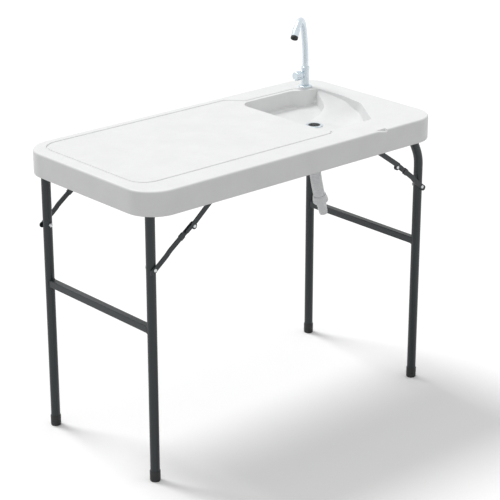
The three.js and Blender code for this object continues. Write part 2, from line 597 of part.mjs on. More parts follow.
function tabletop() {
  const shell = (inset, z) => atHeight(roundedRectangle(-END_X + inset, END_X - inset,
    -SIDE_Y + inset, SIDE_Y - inset, CORNER_RADIUS - inset), z);
  const chamfer = TOP_EDGE_RADIUS * (1 - Math.SQRT1_2);
  const outer = stack([
    shell(SKIRT_EDGE_RADIUS, SKIRT_BOTTOM),
    shell(0, SKIRT_BOTTOM + SKIRT_EDGE_RADIUS),
    shell(0, TOP_HEIGHT - TOP_EDGE_RADIUS),
    shell(chamfer, TOP_HEIGHT - chamfer),
    shell(TOP_EDGE_RADIUS, TOP_HEIGHT),
  ]);
  const wall = SKIRT_WALL_END;
  const pocketOutline = roundedRectangle(-END_X + wall, END_X - wall, -SIDE_Y + SKIRT_WALL_SIDE,
    SIDE_Y - SKIRT_WALL_SIDE, CORNER_RADIUS - wall);
  const bulge = (inset, z) => atHeight(roundedRectangle(BULGE_LEFT_X + inset, BULGE_RIGHT_X - inset,
    BULGE_FRONT_Y + inset, BULGE_BACK_Y - inset, BULGE_RADIUS - inset), z);
  let pocket = prismZ(pocketOutline, BULGE_BOTTOM - CUT_OVERRUN, DECK_UNDERSIDE);
  pocket = pocket.subtract(wasm.Manifold.union(ribs()));
  pocket = pocket.subtract(stack([
    bulge(BULGE_DRAFT, BULGE_BOTTOM), bulge(0, DECK_UNDERSIDE), bulge(0, DECK_UNDERSIDE + CUT_OVERRUN),
  ]));
  const bulgeBase = stack([bulge(BULGE_DRAFT, BULGE_BOTTOM), bulge(0, DECK_UNDERSIDE)]);
  const notch = plateY([
    new THREE.Vector2(NOTCH_START_X, TOP_HEIGHT),
    new THREE.Vector2(NOTCH_END_X, TOP_HEIGHT - NOTCH_DEPTH),
    new THREE.Vector2(NOTCH_END_X, TOP_HEIGHT + CUT_OVERRUN),
    new THREE.Vector2(NOTCH_START_X, TOP_HEIGHT + CUT_OVERRUN),
  ], -SIDE_Y - CUT_OVERRUN, -SIDE_Y + NOTCH_REACH);
  const cuts = [
    sinkCut(), grooveCut(), notch,
    rodZ(FAUCET_X, FAUCET_Y, DECK_UNDERSIDE - CUT_OVERRUN, TOP_HEIGHT + CUT_OVERRUN,
      FAUCET_SHANK_RADIUS + 2 * RUNNING_GAP, TUBE_SIDES),
    rodZ(DRAIN_X, DRAIN_Y, BULGE_BOTTOM - CUT_OVERRUN, SINK_FLOOR + CUT_OVERRUN,
      DRAIN_NECK_RADIUS + 2 * RUNNING_GAP, TUBE_SIDES),
    ...dimples(DIMPLE_FIELD_START_X, DIMPLE_FIELD_END_X, -DIMPLE_FIELD_HALF_Y, DIMPLE_FIELD_HALF_Y,
      DECK_UNDERSIDE),
    ...dimples(BULGE_LEFT_X + BULGE_DRAFT, BULGE_RIGHT_X - BULGE_DRAFT, BULGE_FRONT_Y + BULGE_DRAFT,
      DRAIN_Y - DRAIN_NUT_RADIUS, BULGE_BOTTOM),
    ...dimples(BULGE_LEFT_X + BULGE_DRAFT, BULGE_RIGHT_X - BULGE_DRAFT, DRAIN_Y + DRAIN_NUT_RADIUS,
      BULGE_BACK_Y - BULGE_DRAFT, BULGE_BOTTOM),
  ];
  return outer.subtract(pocket).add(bulgeBase).subtract(wasm.Manifold.union(cuts));
}

// One steel rail under each long side: an angle whose web carries the two brace pivots
function rail(side, pivots) {
  const web = side * RAIL_WEB_Y;
  const outer = side * (RAIL_WEB_Y + RAIL_SHEET);
  const inner = side * (RAIL_WEB_Y + RAIL_SHEET - RAIL_FLANGE_WIDTH);
  let body = block(RAIL_START_X, RAIL_END_X, web, outer, SKIRT_BOTTOM, FLANGE_TOP);
  body = body.add(block(RAIL_START_X, RAIL_END_X, inner, outer, FLANGE_BOTTOM, FLANGE_TOP));
  const screwY = (web + inner) / 2;
  const span = RAIL_END_X - RAIL_START_X - 2 * RAIL_END_MARGIN;
  for (let i = 0; i < RAIL_SCREWS; i += 1) {
    const x = RAIL_START_X + RAIL_END_MARGIN + span * i / (RAIL_SCREWS - 1);
    body = body.add(rodZ(x, screwY, FLANGE_BOTTOM - SCREW_HEAD_HEIGHT, FLANGE_TOP - RAIL_SHEET / 2,
      SCREW_HEAD_RADIUS));
  }
  for (const [x, z] of pivots) {
    body = body.subtract(rodY(x, z, side * (RAIL_WEB_Y - CUT_OVERRUN), side * (RAIL_WEB_Y + CUT_OVERRUN),
      PIN_HOLE_RADIUS));
  }
  return body;
}

// The two ends of the table, with what differs between them; inboard distances count from the leg
const ends = [
  {
    name: 'left', towardsMiddle: 1, legX: LEFT_LEG_X, joggle: 0,
    knee: [LEFT_KNEE_INBOARD, LEFT_KNEE_HEIGHT], railZ: LEFT_RAIL_PIVOT_HEIGHT,
    droop: LEFT_FOLDED_DROOP_DEG,
  },
  {
    name: 'right', towardsMiddle: -1, legX: RIGHT_LEG_X, joggle: RIGHT_LEG_JOGGLE,
    knee: [RIGHT_KNEE_INBOARD, RIGHT_KNEE_HEIGHT], railZ: RIGHT_RAIL_PIVOT_HEIGHT,
    droop: RIGHT_FOLDED_DROOP_DEG,
  },
];

// The rail pivot lies as far from the knee in use as from the knee with the leg folded flat,
// where the lower bar lies beside the leg and droops a little
function railPivot({ knee, railZ, joggle, droop }) {
  const [kneeU, kneeZ] = knee;
  const reach = Math.hypot(kneeU, kneeZ - BRACE_PIVOT_HEIGHT);
  const angle = THREE.MathUtils.degToRad(droop);
  const foldedU = joggle + HINGE_HEIGHT - BRACE_PIVOT_HEIGHT + reach * Math.cos(angle);
  const foldedZ = HINGE_HEIGHT - joggle - reach * Math.sin(angle);
  const squares = foldedU ** 2 - kneeU ** 2 + (foldedZ - railZ) ** 2 - (kneeZ - railZ) ** 2;
  return [squares / (2 * (foldedU - kneeU)), railZ];
}

// The outline of a bar along a bent centre line, with round ends, in X and Z
function barOutline(points, halfWidth) {
  const offset = (a, b) => b.clone().sub(a).normalize().multiplyScalar(halfWidth);
  const side = (from, to) => {
    const d = offset(from, to);
    return new THREE.Vector2(-d.y, d.x);
  };
  const left = [];
  const right = [];
  points.forEach((p, i) => {
    const before = points[Math.max(i - 1, 0)];
    const after = points[Math.min(i + 1, points.length - 1)];
    const n = side(before, after);
    left.push(p.clone().add(n));
    right.unshift(p.clone().sub(n));
  });
  const endArc = (centre, start) => Array.from({ length: ROUND_END_STEPS - 1 }, (_, i) => {
    const turn = -Math.PI * (i + 1) / ROUND_END_STEPS;
    return start.clone().sub(centre).rotateAround(new THREE.Vector2(), turn).add(centre);
  });
  const last = points[points.length - 1];
  const farEnd = endArc(last, left[left.length - 1]);
  const nearEnd = endArc(points[0], right[right.length - 1]);
  return [...left, ...farEnd, ...right, ...nearEnd];
}

function braceParts(end, side, tag) {
  const toX = (u) => end.legX + end.towardsMiddle * u;
  const at = (u, z) => new THREE.Vector2(toX(u), z);
  const [railU, railZ] = railPivot(end);
  const foot = at(0, BRACE_PIVOT_HEIGHT);
  const knee = at(...end.knee);
  const head = at(railU, railZ);
  const lowerReach = foot.distanceTo(knee);
  const along = knee.clone().sub(foot).divideScalar(lowerReach);
  const above = new THREE.Vector2(-along.y, along.x).multiplyScalar(end.towardsMiddle);
  const onLower = (s, n) => foot.clone().addScaledVector(along, s).addScaledVector(above, n);
  const lowerY = [side * LOWER_BAR_Y, side * (LOWER_BAR_Y + BAR_THICKNESS)];
  const upperY = [side * UPPER_BAR_Y, side * (UPPER_BAR_Y + BAR_THICKNESS)];
  const eye = (p, [y0, y1]) => rodY(p.x, p.y, y0, y1, BAR_EYE_RADIUS, TUBE_SIDES);
  const pinHole = (p, [y0, y1]) =>
    rodY(p.x, p.y, y0 - side * CUT_OVERRUN, y1 + side * CUT_OVERRUN, PIN_HOLE_RADIUS);

  const lowerLine = [
    foot,
    onLower(lowerReach * BEND_START_SHARE, BAR_OFFSET_AT_KNEE * BEND_START_OFFSET_SHARE),
    onLower(lowerReach * BEND_END_SHARE, BAR_OFFSET_AT_KNEE * BEND_END_OFFSET_SHARE),
    onLower(lowerReach, BAR_OFFSET_AT_KNEE),
  ];
  const lower = plateY(barOutline(lowerLine, BAR_WIDTH / 2), ...lowerY)
    .add(eye(foot, lowerY)).add(eye(knee, lowerY))
    .subtract(pinHole(foot, lowerY)).subtract(pinHole(knee, lowerY));
  place(`brace_lower_${tag}`, lower, finish.steel);

  const barEnd = onLower(lowerReach, BAR_OFFSET_AT_KNEE);
  const upperLine = [barEnd, head.clone().lerp(knee, UPPER_STRAIGHT_SHARE), head];
  const tailLine = [onLower(lowerReach - BAR_TAIL, BAR_OFFSET_AT_KNEE), barEnd];
  const upper = plateY(barOutline(upperLine, BAR_WIDTH / 2), ...upperY)
    .add(plateY(barOutline(tailLine, BAR_TAIL_WIDTH / 2), ...upperY))
    .add(eye(knee, upperY)).add(eye(head, upperY))
    .subtract(pinHole(knee, upperY)).subtract(pinHole(head, upperY));
  place(`brace_upper_${tag}`, upper, finish.steel);

  const sleeveAt = lowerReach - SLEEVE_FROM_KNEE;
  const straightShare = (sleeveAt / lowerReach - BEND_END_SHARE) / (1 - BEND_END_SHARE);
  const sleeveN = BAR_OFFSET_AT_KNEE * THREE.MathUtils.lerp(BEND_END_OFFSET_SHARE, 1, straightShare);
  const sleeveBox = (half, grow, y0, y1) => {
    const corners = [[-half, -1], [half, -1], [half, 1], [-half, 1]].map(([s, n]) =>
      onLower(sleeveAt + s, sleeveN + n * (BAR_WIDTH / 2 + grow)));
    return plateY(corners, y0, y1);
  };
  const wallGap = RUNNING_GAP + SLEEVE_WALL;
  const innerGap = RUNNING_GAP + SLEEVE_WALL / 2;
  const sleeve = sleeveBox(SLEEVE_LENGTH / 2, innerGap + SLEEVE_WALL,
    side * (LOWER_BAR_Y - wallGap), side * (LOWER_BAR_Y + BAR_THICKNESS + wallGap))
    .subtract(sleeveBox(SLEEVE_LENGTH, innerGap,
      side * (LOWER_BAR_Y - RUNNING_GAP), side * (LOWER_BAR_Y + BAR_THICKNESS + RUNNING_GAP)));
  place(`lock_sleeve_${tag}`, sleeve, finish.steel);

  const upperOut = UPPER_BAR_Y + BAR_THICKNESS;
  const spacerIn = LOWER_BAR_Y + BAR_THICKNESS + RUNNING_GAP;
  const rivet = rodY(knee.x, knee.y, side * spacerIn, side * (upperOut + RUNNING_GAP), PIN_RADIUS)
    .add(rodY(knee.x, knee.y, side * spacerIn, side * (UPPER_BAR_Y - RUNNING_GAP), SPACER_RADIUS))
    .add(rodY(knee.x, knee.y, side * (upperOut + RUNNING_GAP),
      side * (upperOut + RUNNING_GAP + RIVET_HEAD_HEIGHT), BOLT_HEAD_RADIUS));
  place(`knee_rivet_${tag}`, rivet, finish.zinc);

  const webOut = RAIL_WEB_Y + RAIL_SHEET + RUNNING_GAP;
  const pivot = rodY(head.x, head.y, side * UPPER_BAR_Y, side * webOut, PIN_RADIUS)
    .add(rodY(head.x, head.y, side * (upperOut + RUNNING_GAP), side * (RAIL_WEB_Y - RUNNING_GAP),
      SPACER_RADIUS))
    .add(rodY(head.x, head.y, side * webOut, side * (webOut + RIVET_HEAD_HEIGHT / 2),
      BOLT_HEAD_RADIUS));
  place(`rail_pivot_${tag}`, pivot, finish.zinc);

  const legIn = LEG_LINE_Y - LEG_TUBE_RADIUS - RUNNING_GAP;
  const barOut = LOWER_BAR_Y + BAR_THICKNESS + RUNNING_GAP;
  const bolt = rodY(foot.x, foot.y, side * legIn, side * barOut, PIN_RADIUS)
    .add(rodY(foot.x, foot.y, side * (legIn - NUT_HEIGHT), side * legIn, BOLT_HEAD_RADIUS, 6))
    .add(rodY(foot.x, foot.y, side * barOut, side * (barOut + BOLT_HEAD_HEIGHT), BOLT_HEAD_RADIUS))
    .add(rodY(foot.x, foot.y, side * (LEG_OUTER_Y + RUNNING_GAP), side * (LOWER_BAR_Y - RUNNING_GAP),
      SPACER_RADIUS));
  place(`brace_bolt_${tag}`, bolt, finish.zinc);
  return [head.x, head.y];
}

function legPath(end) {
  const hingeX = end.legX + end.towardsMiddle * end.joggle;
  const bottom = new THREE.Vector3(end.legX, 0, FOOT_SOLE + RUNNING_GAP);
  const top = new THREE.Vector3(hingeX, 0, HINGE_HEIGHT + LEG_TOP_OVER_HINGE);
  if (end.joggle === 0) return [bottom, top];
  const rise = JOGGLE_END_Z - JOGGLE_START_Z;
  const at = (x, z) => new THREE.Vector3(x, 0, z);
  const bend = new THREE.CubicBezierCurve3(
    at(end.legX, JOGGLE_START_Z), at(end.legX, JOGGLE_START_Z + rise / 2),
    at(hingeX, JOGGLE_END_Z - rise / 3), at(hingeX, JOGGLE_END_Z));
  return [bottom, ...bend.getPoints(CORNER_STEPS), top];
}

function leg(end, side) {
  const hingeX = end.legX + end.towardsMiddle * end.joggle;
  const path = legPath(end).map((p) => new THREE.Vector3(p.x, side * LEG_LINE_Y, p.z));
  const tube = swept(ringShape(LEG_TUBE_RADIUS, LEG_TUBE_RADIUS - LEG_TUBE_WALL, TUBE_SIDES), path);
  const reach = LEG_TUBE_RADIUS + CUT_OVERRUN;
  const across = [side * (LEG_LINE_Y - reach), side * (LEG_LINE_Y + reach)];
  const braceHole = rodY(end.legX, BRACE_PIVOT_HEIGHT, ...across, PIN_HOLE_RADIUS);
  if (end.joggle === 0) return tube.subtract(braceHole);
  return tube.subtract(braceHole).subtract(rodY(hingeX, HINGE_HEIGHT, ...across, PIN_HOLE_RADIUS));
}

// A square tube coped to the legs at both ends
function crossbar(end) {
  const half = CROSSBAR_SIZE / 2;
  const square = roundedRectangle(-half, half, -half, half, CROSSBAR_CORNER, 2);
  const innerHalf = half - CROSSBAR_WALL;
  const shape = new THREE.Shape(square);
  shape.holes.push(new THREE.Path(roundedRectangle(-innerHalf, innerHalf, -innerHalf, innerHalf,
    CROSSBAR_CORNER - CROSSBAR_WALL, 2)));
  const length = 2 * LEG_LINE_Y - LEG_TUBE_RADIUS;
  const geometry = new THREE.ExtrudeGeometry(shape, { depth: length, bevelEnabled: false });
  geometry.rotateX(Math.PI / 2);
  geometry.translate(end.legX, length / 2, CROSSBAR_HEIGHT);
  let body = solid(geometry);
  for (const side of [-1, 1]) {
    body = body.subtract(rodZ(end.legX, side * LEG_LINE_Y, CROSSBAR_HEIGHT - CROSSBAR_SIZE,
      CROSSBAR_HEIGHT + CROSSBAR_SIZE, LEG_TUBE_RADIUS + RUNNING_GAP, TUBE_SIDES));
  }
  return body;
}

function footCap(x, y) {
  const bore = LEG_TUBE_RADIUS + RUNNING_GAP;
  return turned([[0, 0], [FOOT_RADIUS - RUNNING_GAP, 0], [FOOT_RADIUS, FOOT_EDGE_RADIUS],
    [FOOT_RADIUS, FOOT_HEIGHT], [bore, FOOT_HEIGHT], [bore, FOOT_SOLE], [0, FOOT_SOLE]], x, y);
}

// The left frame turns on its top tube, held by two sheet saddles
function leftSaddle(side) {
  const inner = TOP_TUBE_RADIUS + RUNNING_GAP;
  const outer = inner + RAIL_SHEET;
  const y1 = LEG_LINE_Y - LEG_TUBE_RADIUS - SADDLE_TO_LEG;
  const range = [side * (y1 - SADDLE_WIDTH), side * y1];
  const half = SADDLE_LENGTH / 2;
  return rodY(LEFT_LEG_X, HINGE_HEIGHT, ...range, outer, TUBE_SIDES)
    .add(block(LEFT_LEG_X - outer / 2, LEFT_LEG_X + outer / 2, ...range, HINGE_HEIGHT, FLANGE_TOP))
    .add(block(LEFT_LEG_X - half, LEFT_LEG_X + half, ...range, FLANGE_BOTTOM, FLANGE_TOP))
    .subtract(rodY(LEFT_LEG_X, HINGE_HEIGHT, range[0] - side * CUT_OVERRUN,
      range[1] + side * CUT_OVERRUN, inner, TUBE_SIDES));
}

// At the right, where the sink is in the way of a tube, each leg hangs in a clevis of its own
function rightBracket(side) {
  const earIn = LEG_LINE_Y - LEG_TUBE_RADIUS - RUNNING_GAP - RAIL_SHEET;
  const earOut = LEG_OUTER_Y + RUNNING_GAP;
  const x0 = RIGHT_HINGE_X - BRACKET_HALF_LENGTH;
  const x1 = RIGHT_HINGE_X + BRACKET_HALF_LENGTH;
  const low = HINGE_HEIGHT - BRACKET_EAR_DROP;
  let body = block(x0, x1, side * earIn, side * (earOut + RAIL_SHEET), FLANGE_BOTTOM, FLANGE_TOP);
  for (const y of [earIn, earOut]) {
    body = body.add(block(x0, x1, side * y, side * (y + RAIL_SHEET), low, FLANGE_TOP));
  }
  return body.subtract(rodY(RIGHT_HINGE_X, HINGE_HEIGHT, side * (earIn - CUT_OVERRUN),
    side * (earOut + RAIL_SHEET + CUT_OVERRUN), PIN_HOLE_RADIUS));
}

function hingeBolt(side) {
  const inside = LEG_LINE_Y - LEG_TUBE_RADIUS - 2 * RUNNING_GAP - RAIL_SHEET;
  const outside = LEG_OUTER_Y + 2 * RUNNING_GAP + RAIL_SHEET;
  const onHinge = (y0, y1, radius, sides) =>
    rodY(RIGHT_HINGE_X, HINGE_HEIGHT, side * y0, side * y1, radius, sides);
  return onHinge(inside, outside, PIN_RADIUS)
    .add(onHinge(inside - NUT_HEIGHT, inside, BOLT_HEAD_RADIUS, 6))
    .add(onHinge(outside, outside + BOLT_HEAD_HEIGHT, BOLT_HEAD_RADIUS));
}

function legFrames() {
  for (const end of ends) {
    for (const [sideName, side] of [['front', -1], ['back', 1]]) {
      place(`${end.name}_leg_${sideName}`, leg(end, side), finish.steel);
      place(`foot_${end.name}_${sideName}`, footCap(end.legX, side * LEG_LINE_Y), finish.cap);
    }
    place(`${end.name}_crossbar`, crossbar(end), finish.steel);
  }
  const tubeEnd = LEG_LINE_Y - LEG_TUBE_RADIUS - RUNNING_GAP;
  const topTube = rodY(LEFT_LEG_X, HINGE_HEIGHT, -tubeEnd, tubeEnd, TOP_TUBE_RADIUS, TUBE_SIDES);
  place('left_top_tube', topTube, finish.steel);
  for (const [sideName, side] of [['front', -1], ['back', 1]]) {
    place(`left_saddle_${sideName}`, leftSaddle(side), finish.steel);
    place(`right_bracket_${sideName}`, rightBracket(side), finish.steel);
    place(`hinge_bolt_${sideName}`, hingeBolt(side), finish.zinc);
    const pivots = ends.map((end) => braceParts(end, side, `${end.name}_${sideName}`));
    place(`rail_${sideName}`, rail(side, pivots), finish.steel);
  }
}

// Faucet: a direction in plan is a heading in degrees from +X
const heading = (deg) => new THREE.Vector3(
  Math.cos(THREE.MathUtils.degToRad(deg)), Math.sin(THREE.MathUtils.degToRad(deg)), 0);

function faucet() {
  const base = TOP_HEIGHT + RUNNING_GAP;
  const bodyLow = base + FAUCET_FLANGE_HEIGHT + RUNNING_GAP;
  const bodyTop = TOP_HEIGHT + FAUCET_BODY_HEIGHT;
  const shankLow = DECK_UNDERSIDE - FAUCET_SHANK_BELOW_DECK;
  const shankHole = FAUCET_SHANK_RADIUS + RUNNING_GAP;
  const slopeIn = FAUCET_FLANGE_HEIGHT / 2;
  place('faucet_flange', turned([[shankHole, base], [FAUCET_FLANGE_RADIUS, base],
    [FAUCET_FLANGE_RADIUS, base + slopeIn], [FAUCET_FLANGE_RADIUS - slopeIn, base + FAUCET_FLANGE_HEIGHT],
    [shankHole, base + FAUCET_FLANGE_HEIGHT]], FAUCET_X, FAUCET_Y), finish.chrome);

  const stem = heading(HANDLE_HEADING_DEG);
  const stemZ = TOP_HEIGHT + HANDLE_HEIGHT;
  const fromAxis = (reach) => new THREE.Vector3(FAUCET_X, FAUCET_Y, stemZ).addScaledVector(stem, reach);
  const body = turned([[0, bodyTop], [FAUCET_BODY_RADIUS, bodyTop], [FAUCET_BODY_RADIUS, bodyLow],
    [FAUCET_SHANK_RADIUS, bodyLow], [FAUCET_SHANK_RADIUS, shankLow], [FAUCET_BORE_RADIUS, shankLow],
    [FAUCET_BORE_RADIUS, bodyLow], [0, bodyLow]].reverse(), FAUCET_X, FAUCET_Y);
  const handleStem = rod(fromAxis(0), fromAxis(HANDLE_STEM_REACH), HANDLE_STEM_RADIUS);
  place('faucet_body', body.add(handleStem), finish.chrome);

  const stemHole = HANDLE_STEM_RADIUS + RUNNING_GAP;
  const handleEnds = [fromAxis(HANDLE_START), fromAxis(HANDLE_START + HANDLE_LENGTH)];
  const handle = rod(...handleEnds, HANDLE_RADIUS, TUBE_SIDES)
    .subtract(rod(fromAxis(0), fromAxis(HANDLE_STEM_REACH + RUNNING_GAP), stemHole));
  place('faucet_handle', handle, finish.chrome);

  const collarLow = bodyTop + RUNNING_GAP;
  const spoutHole = SPOUT_TUBE_RADIUS + RUNNING_GAP;
  place('faucet_collar', turned([[spoutHole, collarLow], [FAUCET_COLLAR_RADIUS, collarLow],
    [FAUCET_COLLAR_RADIUS, bodyTop + FAUCET_COLLAR_HEIGHT], [spoutHole, bodyTop + FAUCET_COLLAR_HEIGHT]],
  FAUCET_X, FAUCET_Y), finish.chrome);

  const ahead = heading(SPOUT_HEADING_DEG);
  const inSpoutPlane = (reach, height) =>
    new THREE.Vector3(FAUCET_X, FAUCET_Y, TOP_HEIGHT + height).addScaledVector(ahead, reach);
  const spoutPoints = SPOUT_ROUTE.map(([reach, height]) => inSpoutPlane(reach, height));
  const spoutLine = new THREE.CatmullRomCurve3(spoutPoints);
  const bend = spoutLine.getPoints(2 * CORNER_STEPS);
  const tube = ringShape(SPOUT_TUBE_RADIUS, SPOUT_TUBE_RADIUS - SPOUT_TUBE_WALL, SMALL_SIDES);
  const tip = spoutLine.getPoint(1);
  const tipDown = THREE.MathUtils.degToRad(SPOUT_TIP_DOWN_DEG);
  const out = ahead.clone().multiplyScalar(Math.cos(tipDown));
  out.z = -Math.sin(tipDown);
  const fromTip = (reach) => tip.clone().addScaledVector(out, reach);
  place('faucet_spout', swept(tube, [...bend, fromTip(SPOUT_IN_HEAD)]), finish.chrome);
  const head = rod(fromTip(RUNNING_GAP), fromTip(SPOUT_HEAD_LENGTH), SPOUT_HEAD_RADIUS, TUBE_SIDES)
    .subtract(rod(fromTip(-CUT_OVERRUN), fromTip(SPOUT_IN_HEAD + RUNNING_GAP), spoutHole, TUBE_SIDES))
    .subtract(rod(fromTip(0), fromTip(SPOUT_HEAD_LENGTH + CUT_OVERRUN), OUTLET_BORE_RADIUS, SMALL_SIDES));
  place('faucet_head', head, finish.chrome);
  const outlet = rod(fromTip(SPOUT_HEAD_LENGTH + RUNNING_GAP), fromTip(SPOUT_HEAD_LENGTH + OUTLET_LENGTH),
    SPOUT_HEAD_RADIUS, TUBE_SIDES)
    .subtract(rod(fromTip(SPOUT_HEAD_LENGTH - CUT_OVERRUN), fromTip(SPOUT_HEAD_LENGTH + 2 * OUTLET_LENGTH),
      OUTLET_BORE_RADIUS, SMALL_SIDES));
  place('faucet_outlet', outlet, finish.rubber);

  const nutTop = DECK_UNDERSIDE - RUNNING_GAP;
  place('faucet_nut', rodZ(FAUCET_X, FAUCET_Y, nutTop - FAUCET_NUT_HEIGHT, nutTop, FAUCET_NUT_RADIUS, 6)
    .subtract(rodZ(FAUCET_X, FAUCET_Y, shankLow, DECK_UNDERSIDE, shankHole, TUBE_SIDES)), finish.zinc);
}

function drain() {
  const seat = SINK_FLOOR + RUNNING_GAP;
  const flangeTop = seat + DRAIN_FLANGE_HEIGHT;
  const recess = flangeTop - DRAIN_STRAINER_HEIGHT - RUNNING_GAP;
  const neckIn = DRAIN_NECK_RADIUS - DRAIN_NECK_WALL;
  const neckLow = seat - DRAIN_NECK_LENGTH;
  place('drain_flange', turned([[neckIn, neckLow], [DRAIN_NECK_RADIUS, neckLow], [DRAIN_NECK_RADIUS, seat],
    [DRAIN_FLANGE_RADIUS, seat], [DRAIN_FLANGE_RADIUS, seat + RUNNING_GAP],
    [DRAIN_FLANGE_RADIUS - DRAIN_FLANGE_HEIGHT, flangeTop], [DRAIN_RECESS_RADIUS, flangeTop],
    [DRAIN_RECESS_RADIUS, recess], [neckIn, recess]], DRAIN_X, DRAIN_Y), finish.chrome);

  const discRadius = DRAIN_RECESS_RADIUS - RUNNING_GAP;
  let strainer = rodZ(DRAIN_X, DRAIN_Y, recess + RUNNING_GAP, flangeTop, discRadius, TUBE_SIDES);
  for (let i = 0; i < DRAIN_SLOTS; i += 1) {
    const ray = heading(i * 360 / DRAIN_SLOTS);
    const across = new THREE.Vector3(-ray.y, ray.x, 0).multiplyScalar(DRAIN_SLOT_WIDTH / 2);
    const corner = (reach, sign) => {
      const p = ray.clone().multiplyScalar(reach).addScaledVector(across, sign);
      return new THREE.Vector2(DRAIN_X + p.x, DRAIN_Y + p.y);
    };
    const slot = [corner(DRAIN_SLOT_INNER, -1), corner(DRAIN_SLOT_OUTER, -1),
      corner(DRAIN_SLOT_OUTER, 1), corner(DRAIN_SLOT_INNER, 1)];
    strainer = strainer.subtract(prismZ(slot, seat - CUT_OVERRUN, flangeTop + CUT_OVERRUN));
  }
  place('drain_strainer', strainer, finish.rubber);

  const neckHole = DRAIN_NECK_RADIUS + RUNNING_GAP;
  const gasketTop = BULGE_BOTTOM - RUNNING_GAP;
  const ringBelow = (top, height, radius, sides) =>
    rodZ(DRAIN_X, DRAIN_Y, top - height, top, radius, sides)
      .subtract(rodZ(DRAIN_X, DRAIN_Y, top - 2 * height, top + height, neckHole, TUBE_SIDES));
  place('drain_gasket', ringBelow(gasketTop, GASKET_HEIGHT, GASKET_RADIUS, TUBE_SIDES), finish.rubber);
  const nutTop = gasketTop - GASKET_HEIGHT - RUNNING_GAP;
  place('drain_nut', ringBelow(nutTop, DRAIN_NUT_HEIGHT, DRAIN_NUT_RADIUS, SMALL_SIDES), finish.rubber);
  return nutTop - DRAIN_NUT_HEIGHT - RUNNING_GAP;
}

// The hose's centre line and, at any length along it, a point and a direction
function hoseLine(topZ) {
  const points = HOSE_ROUTE.map(([dx, drop]) => new THREE.Vector3(DRAIN_X + dx, DRAIN_Y, topZ - drop));
  return new THREE.CatmullRomCurve3(points, false, 'centripetal');
}

function ribbedHose(line) {
  const positions = [];
  const addRing = (share, radius) => {
    const centre = line.getPointAt(share);
    const down = line.getTangentAt(share);
    const side = new THREE.Vector3(0, 1, 0);
    const other = side.clone().cross(down).normalize();
    for (let i = 0; i < HOSE_RING_POINTS; i += 1) {
      const angle = i * 2 * Math.PI / HOSE_RING_POINTS;
      const p = centre.clone().addScaledVector(side, radius * Math.cos(angle))
        .addScaledVector(other, radius * Math.sin(angle));
      positions.push(p.x, p.y, p.z);
    }
  };
  const pitch = 1 / HOSE_RIBS;
  let rings = 0;
  for (let rib = 0; rib < HOSE_RIBS; rib += 1) {
    const isFirst = rib === 0;
    const isLast = rib === HOSE_RIBS - 1;
    addRing(isFirst ? 0 : (rib + HOSE_CREST_SHARE) * pitch, isFirst ? HOSE_VALLEY_RADIUS : HOSE_RADIUS);
    addRing(isLast ? 1 : (rib + HOSE_VALLEY_SHARE) * pitch, HOSE_VALLEY_RADIUS);
    rings += 2;
  }
  for (let rib = HOSE_RIBS; rib >= 0; rib -= HOSE_RIBS_PER_BORE_RING) {
    addRing(rib * pitch, HOSE_BORE_RADIUS);
    rings += 1;
  }
  if (HOSE_RIBS % HOSE_RIBS_PER_BORE_RING > 0) {
    addRing(0, HOSE_BORE_RADIUS);
    rings += 1;
  }
  const index = [];
  for (let ring = 0; ring < rings; ring += 1) {
    const a = ring * HOSE_RING_POINTS;
    const b = ((ring + 1) % rings) * HOSE_RING_POINTS;
    for (let i = 0; i < HOSE_RING_POINTS; i += 1) {
      const next = (i + 1) % HOSE_RING_POINTS;
      index.push(a + i, b + next, a + next, a + i, b + i, b + next);
    }
  }
  const geometry = new THREE.BufferGeometry();
  geometry.setAttribute('position', new THREE.Float32BufferAttribute(positions, 3));
  geometry.setIndex(index);
  return solid(geometry);
}

